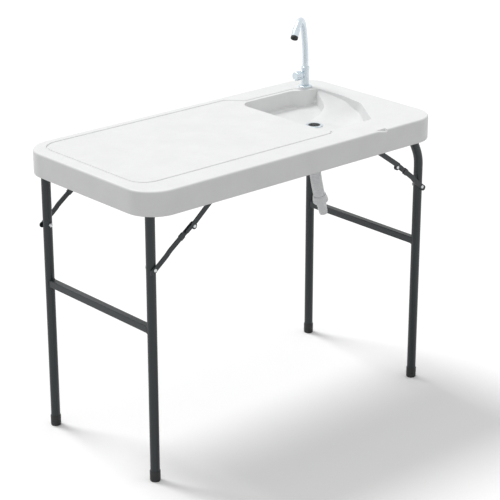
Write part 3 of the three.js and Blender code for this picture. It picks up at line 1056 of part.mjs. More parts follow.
function hose(topZ) {
  const line = hoseLine(topZ);
  place('drain_hose', ribbedHose(line), finish.hose);

  const clampTop = topZ - CLAMP_FROM_TOP;
  const clampIn = HOSE_RADIUS + RUNNING_GAP;
  const lug = block(DRAIN_X - CLAMP_WIDTH / 2, DRAIN_X + CLAMP_WIDTH / 2, DRAIN_Y - clampIn - CLAMP_WIDTH,
    DRAIN_Y - clampIn - CLAMP_WALL / 2, clampTop - CLAMP_WIDTH, clampTop);
  const onDrain = (z0, z1, radius) => rodZ(DRAIN_X, DRAIN_Y, z0, z1, radius, TUBE_SIDES);
  place('hose_clamp', onDrain(clampTop - CLAMP_WIDTH, clampTop, clampIn + CLAMP_WALL)
    .subtract(onDrain(clampTop - 2 * CLAMP_WIDTH, clampTop + CLAMP_WIDTH, clampIn))
    .add(lug), finish.zinc);

  const end = line.getPointAt(1);
  const down = line.getTangentAt(1);
  const turn = new THREE.Quaternion().setFromUnitVectors(new THREE.Vector3(0, 0, -1), down);
  const onEnd = (profile) => {
    const points = profile.map(([r, t]) => new THREE.Vector2(r, -t));
    points.push(points[0].clone());
    const geometry = new THREE.LatheGeometry(points.reverse(), TUBE_SIDES);
    geometry.rotateX(Math.PI / 2);
    geometry.applyQuaternion(turn);
    geometry.translate(end.x, end.y, end.z);
    return solid(geometry);
  };
  const bore = HOSE_RADIUS + RUNNING_GAP;
  place('hose_coupler', onEnd([[bore, -COUPLER_LENGTH], [COUPLER_TOP_RADIUS, -COUPLER_LENGTH],
    [COUPLER_RADIUS, -COUPLER_LENGTH / 3], [COUPLER_RADIUS, 0], [NOZZLE_RADIUS, COUPLER_FLOOR],
    [NOZZLE_BORE_RADIUS, COUPLER_FLOOR], [NOZZLE_BORE_RADIUS, RUNNING_GAP],
    [bore, RUNNING_GAP]]), finish.hose);
  const nozzleStart = COUPLER_FLOOR + RUNNING_GAP;
  place('hose_nozzle', onEnd([[NOZZLE_BORE_RADIUS, nozzleStart], [NOZZLE_RADIUS, nozzleStart],
    [NOZZLE_RADIUS, nozzleStart + NOZZLE_LENGTH / 3], [NOZZLE_TIP_RADIUS, nozzleStart + NOZZLE_LENGTH],
    [NOZZLE_BORE_RADIUS, nozzleStart + NOZZLE_LENGTH]]), finish.hose);
}

place('tabletop', tabletop(), finish.plastic);
legFrames();
faucet();
hose(drain());

export default group;
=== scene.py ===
"""Looks of a folding fish cleaning table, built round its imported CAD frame."""
import logging
import math
from dataclasses import dataclass
from enum import Enum
from typing import Optional, Sequence, Union

import bmesh
import bpy
import numpy as np
from mathutils import Matrix, Vector
from mathutils.geometry import delaunay_2d_cdt, interpolate_bezier


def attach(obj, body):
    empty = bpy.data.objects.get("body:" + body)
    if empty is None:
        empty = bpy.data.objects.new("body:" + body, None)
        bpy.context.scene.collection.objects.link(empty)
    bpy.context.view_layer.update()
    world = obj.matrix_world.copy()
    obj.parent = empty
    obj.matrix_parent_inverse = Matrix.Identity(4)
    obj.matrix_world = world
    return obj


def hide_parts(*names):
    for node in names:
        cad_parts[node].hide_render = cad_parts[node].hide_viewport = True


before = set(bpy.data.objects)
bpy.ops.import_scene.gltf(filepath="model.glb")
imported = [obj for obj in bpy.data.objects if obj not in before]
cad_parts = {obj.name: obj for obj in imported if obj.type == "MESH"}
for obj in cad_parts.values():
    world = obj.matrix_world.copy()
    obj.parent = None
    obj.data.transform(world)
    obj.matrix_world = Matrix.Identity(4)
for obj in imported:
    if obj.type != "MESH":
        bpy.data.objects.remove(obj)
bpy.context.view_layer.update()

LOG = logging.getLogger("fish_table")
MM = 0.001
PHOTO_PIXELS = 500
Y_AXIS, Z_AXIS = Vector((0, 1, 0)), Vector((0, 0, 1))
Point = Union[Vector, Sequence[float]]
Profile = Sequence[tuple[float, float]]
Ring = list[bmesh.types.BMVert]
Value = Union["Socket", float]

# Sizes that several sub-assemblies share, in millimetres
TOP_Z = 890.0
DECK_Z = 857.0
SKIRT_Z = 817.0
BULGE_Z = 808.0
HINGE_Z = 838.0
SEAT_GAP = 0.3
SEAT_Z = DECK_Z - SEAT_GAP
LEG_Y = 242.0
LEG_R = 14.0
SHEET = 2.5
PIN_R = 4.0
PIN_HOLE_R = PIN_R + SEAT_GAP
NUT_FLATS = 11.2
LOWER_BAR_Y = 257.8
UPPER_BAR_Y = 262.8
WEB_Y = 269.2
SINK_DEPTH = 60.0
DRAIN = Vector((342.0, 21.0, 830.3))
FAUCET = Vector((484.0, 213.0, 890.3))


# ---- Finishes ----
class Socket:
    """A value in a finish's node tree; reckoning with it adds Math nodes."""

    def __init__(self, graph: "Graph", socket: bpy.types.NodeSocket) -> None:
        """Wraps one output socket of a graph."""
        self.graph = graph
        self.socket = socket

    def _math(self, operation: str, first: Value, second: Value) -> "Socket":
        """Returns the result of one Math node."""
        return self.graph.node("ShaderNodeMath", {"operation": operation}, {0: first, 1: second})

    def __add__(self, other: Value) -> "Socket":
        """Returns self + other."""
        return self._math("ADD", self, other)

    def __radd__(self, other: Value) -> "Socket":
        """Returns other + self."""
        return self._math("ADD", other, self)

    def __mul__(self, other: Value) -> "Socket":
        """Returns self * other."""
        return self._math("MULTIPLY", self, other)

    def __rmul__(self, other: Value) -> "Socket":
        """Returns other * self."""
        return self._math("MULTIPLY", other, self)


class Graph:
    """The node tree of one material or of the world."""

    def __init__(self, owner: Union[bpy.types.Material, bpy.types.World]) -> None:
        """Empties a node tree to build a finish in it.

        Args:
            owner: The material or the world that the tree belongs to.
        """
        owner.use_nodes = True
        self.owner = owner
        self.tree = owner.node_tree
        self.tree.nodes.clear()

    def node(self, kind: str, settings: Optional[dict] = None, inputs: Optional[dict] = None,
             output: Union[int, str] = 0) -> Socket:
        """Adds a node.

        Args:
            kind: The node's type.
            settings: Its own settings, with "stops" for a ramp's places and colours.
            inputs: Values or links of its sockets, by name or number.
            output: The output that is returned.

        Returns:
            That output, wrapped.
        """
        node = self.tree.nodes.new(kind)
        for key, value in (settings or {}).items():
            if key == "stops":
                ramp = node.color_ramp
                for i, (place, colour) in enumerate(value):
                    stop = ramp.elements[i] if i < 2 else ramp.elements.new(place)
                    stop.position, stop.color = place, (*colour, 1.0)
            else:
                setattr(node, key, value)
        for key, value in (inputs or {}).items():
            if isinstance(value, Socket):
                self.tree.links.new(value.socket, node.inputs[key])
            else:
                node.inputs[key].default_value = value
        return Socket(self, node.outputs[output])

    def place(self) -> Socket:
        """Returns the object coordinates, in metres."""
        return self.node("ShaderNodeTexCoord", output="Object")

    def noise(self, per_metre: float, detail: float, roughness: float = 0.5,
              stretch: Point = (1, 1, 1)) -> Socket:
        """Adds noise in the object's own coordinates.

        Args:
            per_metre: About how many features there are to the metre.
            detail: How many finer layers it has.
            roughness: How strong the finer layers are.
            stretch: Scales along the three axes; a low one draws the noise out.

        Returns:
            The noise, about 0.5 in the middle.
        """
        where = self.node("ShaderNodeMapping",
                          inputs={"Vector": self.place(), "Scale": tuple(stretch)})
        return self.node("ShaderNodeTexNoise", inputs={
            "Vector": where, "Scale": per_metre, "Detail": detail, "Roughness": roughness})

    def ramp(self, factor: Socket, *stops: tuple[float, tuple[float, float, float]]) -> Socket:
        """Returns a colour from a ramp with those places and colours."""
        return self.node("ShaderNodeValToRGB", {"stops": stops}, {"Fac": factor})

    def grey(self, factor: Socket, low: float, high: float, start: float, end: float) -> Socket:
        """Returns a value that goes from low to high as factor goes from start to end."""
        return self.node("ShaderNodeMapRange", inputs={
            "Value": factor, "From Min": start, "From Max": end, "To Min": low, "To Max": high})

    def bump(self, height: Socket, metres: float, under: Optional[Socket] = None) -> Socket:
        """Turns a height into a normal.

        Args:
            height: The height, from 0 to 1.
            metres: What a height of 1 stands for.
            under: Another normal that it comes on top of.

        Returns:
            The normal.
        """
        inputs = {"Height": height, "Distance": metres, "Strength": 1.0}
        if under is not None:
            inputs["Normal"] = under
        return self.node("ShaderNodeBump", inputs=inputs)

    def surface(self, **sockets: Union[Socket, float, tuple]) -> bpy.types.Material:
        """Ends the tree in a Principled shader.

        Args:
            **sockets: Values and links of its sockets, with _ for a space in a name.

        Returns:
            The material.
        """
        named = {key.replace("_", " "): value for key, value in sockets.items()}
        self.show(self.node("ShaderNodeBsdfPrincipled", inputs=named, output="BSDF"))
        return self.owner

    def show(self, shader: Socket, kind: str = "ShaderNodeOutputMaterial") -> None:
        """Links a shader to an output node of that kind."""
        output = self.tree.nodes.new(kind)
        self.tree.links.new(shader.socket, output.inputs["Surface"])


@dataclass(frozen=True)
class Moulding:
    """Moulded plastic: faint mottling, a fine grain and the slow waves of a hollow moulding."""

    name: str
    colour: tuple[float, float, float]
    roughness: float = 0.42
    grain_per_metre: float = 650.0
    grain_height: float = 0.00006
    wave_height: float = 0.0

    def material(self) -> bpy.types.Material:
        """Makes the finish.

        Returns:
            The finish as a material.
        """
        graph = Graph(bpy.data.materials.new(self.name))
        mottle = graph.noise(14.0, 4.0, 0.6)
        dark = tuple(c * 0.955 for c in self.colour)
        base = graph.ramp(mottle, (0.3, dark), (0.68, self.colour))
        fine = graph.noise(self.grain_per_metre, 3.0, 0.55)
        gloss = graph.noise(60.0, 3.0)
        rough = self.roughness - 0.07 + 0.14 * gloss
        normal = graph.bump(fine, self.grain_height)
        if self.wave_height:
            normal = graph.bump(graph.noise(16.0, 1.0), self.wave_height, under=normal)
        return graph.surface(Base_Color=base, Roughness=rough, Normal=normal)


@dataclass(frozen=True)
class PowderCoat:
    """Sprayed powder coat on steel: a leathery skin with a few rubbed specks."""

    name: str
    colour: tuple[float, float, float]
    roughness: float = 0.36

    def material(self) -> bpy.types.Material:
        """Makes the finish.

        Returns:
            The finish as a material.
        """
        graph = Graph(bpy.data.materials.new(self.name))
        worn = graph.grey(graph.noise(240.0, 5.0, 0.7), 0.0, 1.0, 0.66, 0.74)
        light = tuple(min(c * 2.1 + 0.02, 1.0) for c in self.colour)
        base = graph.ramp(worn, (0.0, self.colour), (1.0, light))
        skin = graph.noise(420.0, 2.0, 0.4)
        rough = self.roughness - 0.05 + 0.12 * graph.noise(35.0, 3.0) + 0.15 * worn
        return graph.surface(Base_Color=base, Roughness=rough, Metallic=0.15,
                             Normal=graph.bump(skin, 0.00012))


@dataclass(frozen=True)
class Plating:
    """Plated metal: bright zinc when rough, polished chrome when smooth."""

    name: str
    colour: tuple[float, float, float]
    roughness: float
    scratch_height: float = 0.00001
    metallic: float = 0.92

    def material(self) -> bpy.types.Material:
        """Makes the finish.

        Returns:
            The finish as a material.
        """
        graph = Graph(bpy.data.materials.new(self.name))
        cloud = graph.noise(70.0, 2.0)
        dull = tuple(c * 0.95 for c in self.colour)
        base = graph.ramp(cloud, (0.35, dull), (0.65, self.colour))
        lines = graph.noise(900.0, 2.0, 0.6, (1.0, 1.0, 0.12))
        rough = self.roughness * (0.85 + 0.3 * cloud)
        return graph.surface(Base_Color=base, Roughness=rough, Metallic=self.metallic,
                             Normal=graph.bump(lines, self.scratch_height))


class Finish(Enum):
    """The finishes of the table, each made once."""

    TOP = Moulding("white_moulding", (0.80, 0.805, 0.805), 0.42, 620.0, 0.00005, 0.0004)
    STEEL = PowderCoat("charcoal_coat", (0.020, 0.026, 0.029))
    CAP = Moulding("black_cap", (0.014, 0.015, 0.016), 0.55, 900.0, 0.00008)
    ZINC = Plating("bright_zinc", (0.66, 0.68, 0.69), 0.30, 0.00002)
    FAUCET = Plating("faucet_plate", (0.70, 0.78, 0.83), 0.28, 0.000003, 0.75)
    RUBBER = Moulding("black_rubber", (0.018, 0.018, 0.019), 0.66, 1100.0, 0.00012)
    HOSE = Moulding("grey_hose", (0.93, 0.94, 0.95), 0.46, 800.0, 0.00006)

    def get(self) -> bpy.types.Material:
        """Returns the one material of this finish."""
        found = bpy.data.materials.get(self.value.name)
        return found or self.value.material()


# ---- Meshes ----
def add_object(name: str, data: bpy.types.ID) -> bpy.types.Object:
    """Makes an object and links it to the scene.

    Args:
        name: Its name.
        data: Its mesh, camera or light.

    Returns:
        The object, at the origin.
    """
    made = bpy.data.objects.new(name, data)
    bpy.context.scene.collection.objects.link(made)
    return made


def towards(origin: Point, direction: Point) -> Matrix:
    """Returns the transform that takes the Z axis to a direction and zero to origin."""
    turn = Z_AXIS.rotation_difference(Vector(direction)).to_matrix().to_4x4()
    return Matrix.Translation(Vector(origin)) @ turn


def circle(radius: float, count: int, z: float = 0.0) -> list[Vector]:
    """Returns points round a circle about the Z axis."""
    return [Vector((radius * math.cos(a), radius * math.sin(a), z))
            for a in (2 * math.pi * i / count for i in range(count))]


def disc(centre: Vector, radius: float, count: int = 32) -> list[Vector]:
    """Returns points round a level circle about a point."""
    return [centre + p for p in circle(radius, count)]


def rectangle(x0: float, x1: float, y0: float, y1: float) -> list[Vector]:
    """Returns the corners of a rectangle, anticlockwise."""
    return [Vector((x, y, 0)) for x, y in ((x0, y0), (x1, y0), (x1, y1), (x0, y1))]


def fluted(radius: float, lobes: int, depth: float, z: float, per_lobe: int = 8) -> list[Vector]:
    """Draws a circle whose radius dips between a number of lobes.

    Args:
        radius: The radius at the lobes.
        lobes: How many lobes there are.
        depth: How far the radius dips.
        z: The circle's height.
        per_lobe: Points to each lobe.

    Returns:
        The points, anticlockwise.
    """
    points = []
    for i in range(lobes * per_lobe):
        angle = 2 * math.pi * i / (lobes * per_lobe)
        reach = radius - depth * (0.5 - 0.5 * math.cos(lobes * angle)) ** 3
        points.append(Vector((reach * math.cos(angle), reach * math.sin(angle), z)))
    return points


def rounded_polygon(corners: Sequence[tuple[float, float, float]], steps: int) -> list[Vector]:
    """Rounds a polygon's corners.

    Args:
        corners: x, y and fillet radius of each corner, anticlockwise.
        steps: Segments in each fillet.

    Returns:
        The outline's points at a height of zero.
    """
    points = []
    for i, (x, y, radius) in enumerate(corners):
        here = Vector((x, y))
        back = (Vector(corners[i - 1][:2]) - here).normalized()
        ahead = (Vector(corners[(i + 1) % len(corners)][:2]) - here).normalized()
        half = back.angle(ahead) / 2
        start = here + back * (radius / math.tan(half))
        centre = here + (back + ahead).normalized() * (radius / math.sin(half))
        arm = start - centre
        end = here + ahead * (radius / math.tan(half)) - centre
        sweep = arm.angle_signed(end)
        for k in range(steps + 1):
            turn = Matrix.Rotation(-sweep * k / steps, 2)
            points.append((centre + turn @ arm).to_3d())
    return points


def rounded_box(x0: float, x1: float, y0: float, y1: float, radius: float, z: float,
                steps: int = 8, stops: Sequence[float] = ()) -> list[Vector]:
    """Draws a rounded rectangle.

    Args:
        x0: Its left side.
        x1: Its right side.
        y0: Its front side.
        y1: Its back side.
        radius: The radius of its corners.
        z: Its height.
        steps: Segments in each corner.
        stops: Places along X of further points on its front side.

    Returns:
        The points, anticlockwise.
    """
    points = []
    for quarter, (cx, cy) in enumerate(((x1 - radius, y0 + radius), (x1 - radius, y1 - radius),
                                        (x0 + radius, y1 - radius), (x0 + radius, y0 + radius))):
        for i in range(steps + 1):
            angle = math.pi / 2 * (quarter - 1 + i / steps)
            points.append(Vector((cx + radius * math.cos(angle), cy + radius * math.sin(angle), z)))
    return points + [Vector((x, y0, z)) for x in stops]


def resample(points: Sequence[Vector], count: int) -> list[Vector]:
    """Spaces points evenly round a closed line.

    Args:
        points: The line's points.
        count: How many points are wanted.

    Returns:
        The new points.
    """
    line = np.array([p[:] for p in (*points, points[0])])
    along = np.concatenate([[0], np.cumsum(np.linalg.norm(np.diff(line, axis=0), axis=1))])
    want = np.linspace(0, along[-1], count, endpoint=False)
    return [Vector(p) for p in np.stack([np.interp(want, along, line[:, k]) for k in range(3)], 1)]


class Form:
    """A mesh in the making, in millimetres in the table's own frame."""

    def __init__(self) -> None:
        """Starts an empty mesh."""
        self.bm = bmesh.new()

    def ring(self, points: Sequence[Vector]) -> Ring:
        """Makes a closed ring of vertices.

        Args:
            points: Where they lie.

        Returns:
            The ring.
        """
        made = bmesh.ops.create_circle(self.bm, cap_ends=False, radius=1.0, segments=len(points))
        for vertex, point in zip(made["verts"], points):
            vertex.co = point
        return made["verts"]

    def edges(self, ring: Ring) -> list[bmesh.types.BMEdge]:
        """Returns the edges of a closed ring."""
        return [self.bm.edges.get((a, b)) for a, b in zip(ring, ring[1:] + ring[:1])]

    def extend(self, ring: Ring, points: Sequence[Vector]) -> Ring:
        """Extrudes a closed ring to the next points.

        Args:
            ring: The ring.
            points: Where its new vertices lie.

        Returns:
            The new ring.
        """
        made = bmesh.ops.extrude_edge_only(self.bm, edges=self.edges(ring))["geom"]
        fresh = {g for g in made if isinstance(g, bmesh.types.BMVert)}
        new = [next(e.other_vert(v) for e in v.link_edges if e.other_vert(v) in fresh)
               for v in ring]
        for vertex, point in zip(new, points):
            vertex.co = point
        return new

    def cap(self, ring: Ring) -> None:
        """Closes a ring with one face."""
        bmesh.ops.contextual_create(self.bm, geom=self.edges(ring))

    def fill(self, rings: Sequence[Ring]) -> None:
        """Fills a level region with faces.

        Args:
            rings: The ring round it and the rings inside it.
        """
        edges = [e for ring in rings for e in self.edges(ring)]
        bmesh.ops.triangle_fill(self.bm, use_beauty=True, use_dissolve=False, edges=edges,
                                normal=Z_AXIS)

    def loft(self, rings: Sequence[Sequence[Vector]], start: bool = True, end: bool = True,
             tube: bool = False) -> tuple[Ring, Ring]:
        """Extrudes a surface through rings of points.

        Args:
            rings: Rings of the same number of points.
            start: Whether the first ring is closed by a face.
            end: Whether the last ring is closed by a face.
            tube: Whether the last ring is joined back to the first.

        Returns:
            The first and the last ring of vertices.
        """
        first = last = self.ring(rings[0])
        for points in rings[1:]:
            last = self.extend(last, points)
        if tube:
            bmesh.ops.bridge_loops(self.bm, edges=self.edges(first) + self.edges(last))
        else:
            if start:
                self.cap(first)
            if end:
                self.cap(last)
        return first, last

    def at(self, place: Matrix) -> "Form":
        """Moves the whole mesh and returns it."""
        bmesh.ops.transform(self.bm, matrix=place, verts=self.bm.verts)
        return self

    def join(self, other: "Form") -> "Form":
        """Adds another mesh to this one.

        Args:
            other: The other mesh, which is used up.

        Returns:
            This mesh.
        """
        spare = bpy.data.meshes.new("spare")
        other.bm.to_mesh(spare)
        self.bm.from_mesh(spare)
        bpy.data.meshes.remove(spare)
        other.bm.free()
        return self

    def bevel(self, width: float, segments: int, least_deg: float) -> "Form":
        """Rounds every edge that is sharper than an angle.

        Args:
            width: The width of the rounding.
            segments: Segments across an edge.
            least_deg: The angle in degrees.

        Returns:
            This mesh.
        """
        bmesh.ops.recalc_face_normals(self.bm, faces=self.bm.faces)
        sharp = [e for e in self.bm.edges
                 if len(e.link_faces) == 2 and e.calc_face_angle(0.0) > math.radians(least_deg)]
        bmesh.ops.bevel(self.bm, geom=sharp, offset=width, offset_type="OFFSET", segments=segments,
                        profile=0.5, affect="EDGES", material=-1, clamp_overlap=True)
        return self

    def piece(self, name: str, body: str, finish: Finish, *nodes: str,
              sharp_deg: float = 40.0) -> bpy.types.Object:
        """Ends the mesh as a piece of the table.

        Args:
            name: The piece's name.
            body: The CAD body it moves with.
            finish: Its finish.
            nodes: The CAD nodes that it stands for.
            sharp_deg: The angle over which an edge is shaded sharp.

        Returns:
            The object, at the origin, in metres.
        """
        bmesh.ops.remove_doubles(self.bm, verts=self.bm.verts, dist=0.004)
        bmesh.ops.recalc_face_normals(self.bm, faces=self.bm.faces)
        bmesh.ops.scale(self.bm, vec=(MM, MM, MM), verts=self.bm.verts)
        for face in self.bm.faces:
            face.smooth = True
        limit = math.radians(sharp_deg)
        for edge in self.bm.edges:
            edge.smooth = len(edge.link_faces) == 2 and edge.calc_face_angle(0.0) < limit
        mesh = bpy.data.meshes.new(name)
        self.bm.to_mesh(mesh)
        self.bm.free()
        mesh.materials.append(finish.get())
        obj = add_object(name, mesh)
        weighted = obj.modifiers.new("even_shading", "WEIGHTED_NORMAL")
        weighted.keep_sharp = True
        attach(obj, body)
        if nodes:
            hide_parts(*nodes)
        LOG.info("%s: %d faces, rides on %s", name, len(mesh.polygons), body)
        return obj


def turned(profile: Profile, steps: int) -> Form:
    """Spins a profile about the Z axis.

    Args:
        profile: Radius and height of its points. It starts and ends on the axis, or closes.
        steps: Segments round the axis.

    Returns:
        The mesh.
    """
    form = Form()
    spots = [Vector((radius, 0, z)) for radius, z in profile]
    last = bmesh.ops.create_vert(form.bm, co=spots[0])["vert"][0]
    for spot in spots[1:]:
        made = bmesh.ops.extrude_vert_indiv(form.bm, verts=[last])["verts"]
        last = made[0]
        last.co = spot
    bmesh.ops.spin(form.bm, geom=form.bm.verts[:] + form.bm.edges[:], cent=(0, 0, 0), axis=Z_AXIS,
                   angle=2 * math.pi, steps=steps, use_merge=True)
    bmesh.ops.remove_doubles(form.bm, verts=form.bm.verts, dist=0.002)
    return form


def swept(path: Sequence[Vector], outline: Sequence[Vector]) -> Form:
    """Carries a flat outline along a path without twisting it.

    Args:
        path: The points of the centre line.
        outline: The section, drawn in X and Y.

    Returns:
        The mesh, closed at both ends.
    """
    rings = []
    tangent = (path[1] - path[0]).normalized()
    turn = Z_AXIS.rotation_difference(tangent)
    for i, here in enumerate(path):
        before = path[max(i - 1, 0)]
        after = path[min(i + 1, len(path) - 1)]
        ahead = (after - before).normalized()
        turn = tangent.rotation_difference(ahead) @ turn
        tangent = ahead
        rings.append([here + turn @ p for p in outline])
    form = Form()
    form.loft(rings)
    return form


def plate(outline: Sequence[Vector], low: float, high: float, edge: float,
          holes: Sequence[Sequence[Vector]] = ()) -> Form:
    """Makes a flat plate between two heights, with holes and rounded edges.

    Args:
        outline: The plate's outline in X and Y.
        low: The lower height.
        high: The upper height.
        edge: The radius on its edges, or 0 for sharp ones.
        holes: The outlines of its holes.

    Returns:
        The mesh.
    """
    form = Form()
    loops = [form.loft([[p + Vector((0, 0, z)) for p in loop] for z in (low, high)], False, False)
             for loop in (outline, *holes)]
    for level in (0, 1):
        form.fill([pair[level] for pair in loops])
    if edge > 0:
        bmesh.ops.dissolve_limit(form.bm, angle_limit=0.001, use_dissolve_boundaries=False,
                                 verts=form.bm.verts, edges=form.bm.edges, delimit=set())
        form.bevel(edge, 2, 50.0)
    return form


def strip(points: Sequence[Vector], half: float, steps: int = 8) -> list[Vector]:
    """Draws the outline of a strip along a line.

    Args:
        points: The line's points.
        half: Half the strip's width.
        steps: Segments in each round end, or 0 for square ends.

    Returns:
        The outline's points.
    """
    left, right = [], []
    for i, here in enumerate(points):
        ahead = (points[min(i + 1, len(points) - 1)] - points[max(i - 1, 0)]).normalized()
        side = Vector((-ahead.y, ahead.x, 0)) * half
        left.append(here + side)
        right.insert(0, here - side)
    ends = [[centre + Matrix.Rotation(-math.pi * k / steps, 3, "Z") @ (start - centre)
             for k in range(1, steps)]
            for centre, start in ((points[-1], left[-1]), (points[0], right[-1]))]
    return left + ends[0] + right + ends[1]


def hexagon(across: float) -> list[Vector]:
    """Returns a hexagon by its width across flats."""
    return circle(across / math.sqrt(3), 6)


def screw_heads(places: Sequence[Point], radius: float, height: float) -> Form:
    """Makes domed screw heads that face down, each with a cross on it.

    Args:
        places: Where they sit.
        radius: Their radius.
        height: Their height.

    Returns:
        The mesh.
    """
    shoulder, steps = 0.35, 5
    dome = [(0.0, 0.0), (radius, 0.0), (radius, height * shoulder)]
    dome += [(radius * math.cos(a), height * (shoulder + (1 - shoulder) * math.sin(a)))
             for a in (math.pi / 2 * k / steps for k in range(1, steps))]
    arm, half = radius * 0.55, radius * 0.13
    heads = Form()
    for place in places:
        head = turned([*dome, (0.0, height)], 24)
        for turn in (0, 1):
            bar = plate(rectangle(-arm, arm, -half, half), height * 0.9, height * 1.04, 0.0)
            head.join(bar.at(Matrix.Rotation(turn * math.pi / 2, 4, "Z")))
        heads.join(head.at(towards(place, (0, 0, -1))))
    return heads


def smooth_line(points: Sequence[Vector], per_span: int) -> list[Vector]:
    """Draws a smooth line through points.

    Args:
        points: The points.
        per_span: Steps between each two.

    Returns:
        The line's points.
    """
    ends = [points[0] * 2 - points[1], *points, points[-1] * 2 - points[-2]]
    line = []
    for a, b, c, d in zip(ends, ends[1:], ends[2:], ends[3:]):
        for k in range(per_span):
            t = k / per_span
            line.append(0.5 * (2 * b + (c - a) * t + (2 * a - 5 * b + 4 * c - d) * t * t
                               + (3 * b - a - 3 * c + d) * t ** 3))
    return line + [points[-1].copy()]


def merged(*outlines: Sequence[Vector]) -> list[Vector]:
    """Draws the one outline round several flat outlines that overlap.

    Args:
        *outlines: The outlines, anticlockwise.

    Returns:
        The outline's points.
    """
    flat, faces = [], []
    for outline in outlines:
        faces.append(list(range(len(flat), len(flat) + len(outline))))
        flat += [p.to_2d() for p in outline]
    points, _, triangles, *_ = delaunay_2d_cdt(flat, [], faces, 1, 1e-4)
    sides = {(t[i], t[(i + 1) % 3]) for t in triangles for i in range(3)}
    border = {a: b for a, b in sides if (b, a) not in sides}
    here = start = next(iter(border))
    loop = []
    while not loop or here != start:
        loop.append(points[here].to_3d())
        here = border[here]
    return loop


def bead(path: Sequence[Vector], axis: Vector, radius: float, sides: int = 8) -> Form:
    """Lays a round bead, such as a weld, along a closed path.

    Args:
        path: The path's points.
        axis: The axis that the path runs about.
        radius: The bead's radius.
        sides: Segments round it.

    Returns:
        The mesh.
    """
    rings = []
    for i, here in enumerate(path):
        ahead = (path[(i + 1) % len(path)] - path[i - 1]).normalized()
        out = ahead.cross(axis).normalized()
        up = out.cross(ahead)
        swell = radius * (1.0 + 0.12 * math.sin(i * 2.1))
        rings.append([here + out * p.x + up * p.y for p in circle(swell, sides)])
    form = Form()
    form.loft(rings, tube=True)
    return form


@dataclass(frozen=True)
class EndSizes:
    """What differs between the two ends of the table: legs, knees and the pivots on the rails."""

    name: str
    inward: int
    leg_x: float
    joggle: float
    knee: tuple[float, float]
    head: tuple[float, float]

    @property
    def hinge_x(self) -> float:
        """Returns the place of the frame's hinge, which is over the leg or inward of it."""
        return self.leg_x + self.inward * self.joggle


class End(Enum):
    """The two ends of the table."""

    LEFT = EndSizes("left", 1, -528.0, 0.0, (-389.0, 752.0), (-297.7605, 833.0))
    RIGHT = EndSizes("right", -1, 540.0, 30.0, (422.0, 745.0), (312.423, 826.0))


class Side(Enum):
    """The two long sides of the table."""

    FRONT = -1
    BACK = 1

    @property
    def word(self) -> str:
        """Returns the side's name as the names of pieces have it."""
        return self.name.lower()

    def upright(self, x: float = 0.0, z: float = 0.0) -> Matrix:
        """Returns the transform of a plate drawn in X and Z, whose thickness counts outwards."""
        return Matrix(((1, 0, 0, x), (0, 0, self.value, 0), (0, 1, 0, z), (0, 0, 0, 1)))

    def tag(self, end: End) -> str:
        """Returns the name of the corner at this side of an end."""
        return f"{end.value.name}_{self.word}"


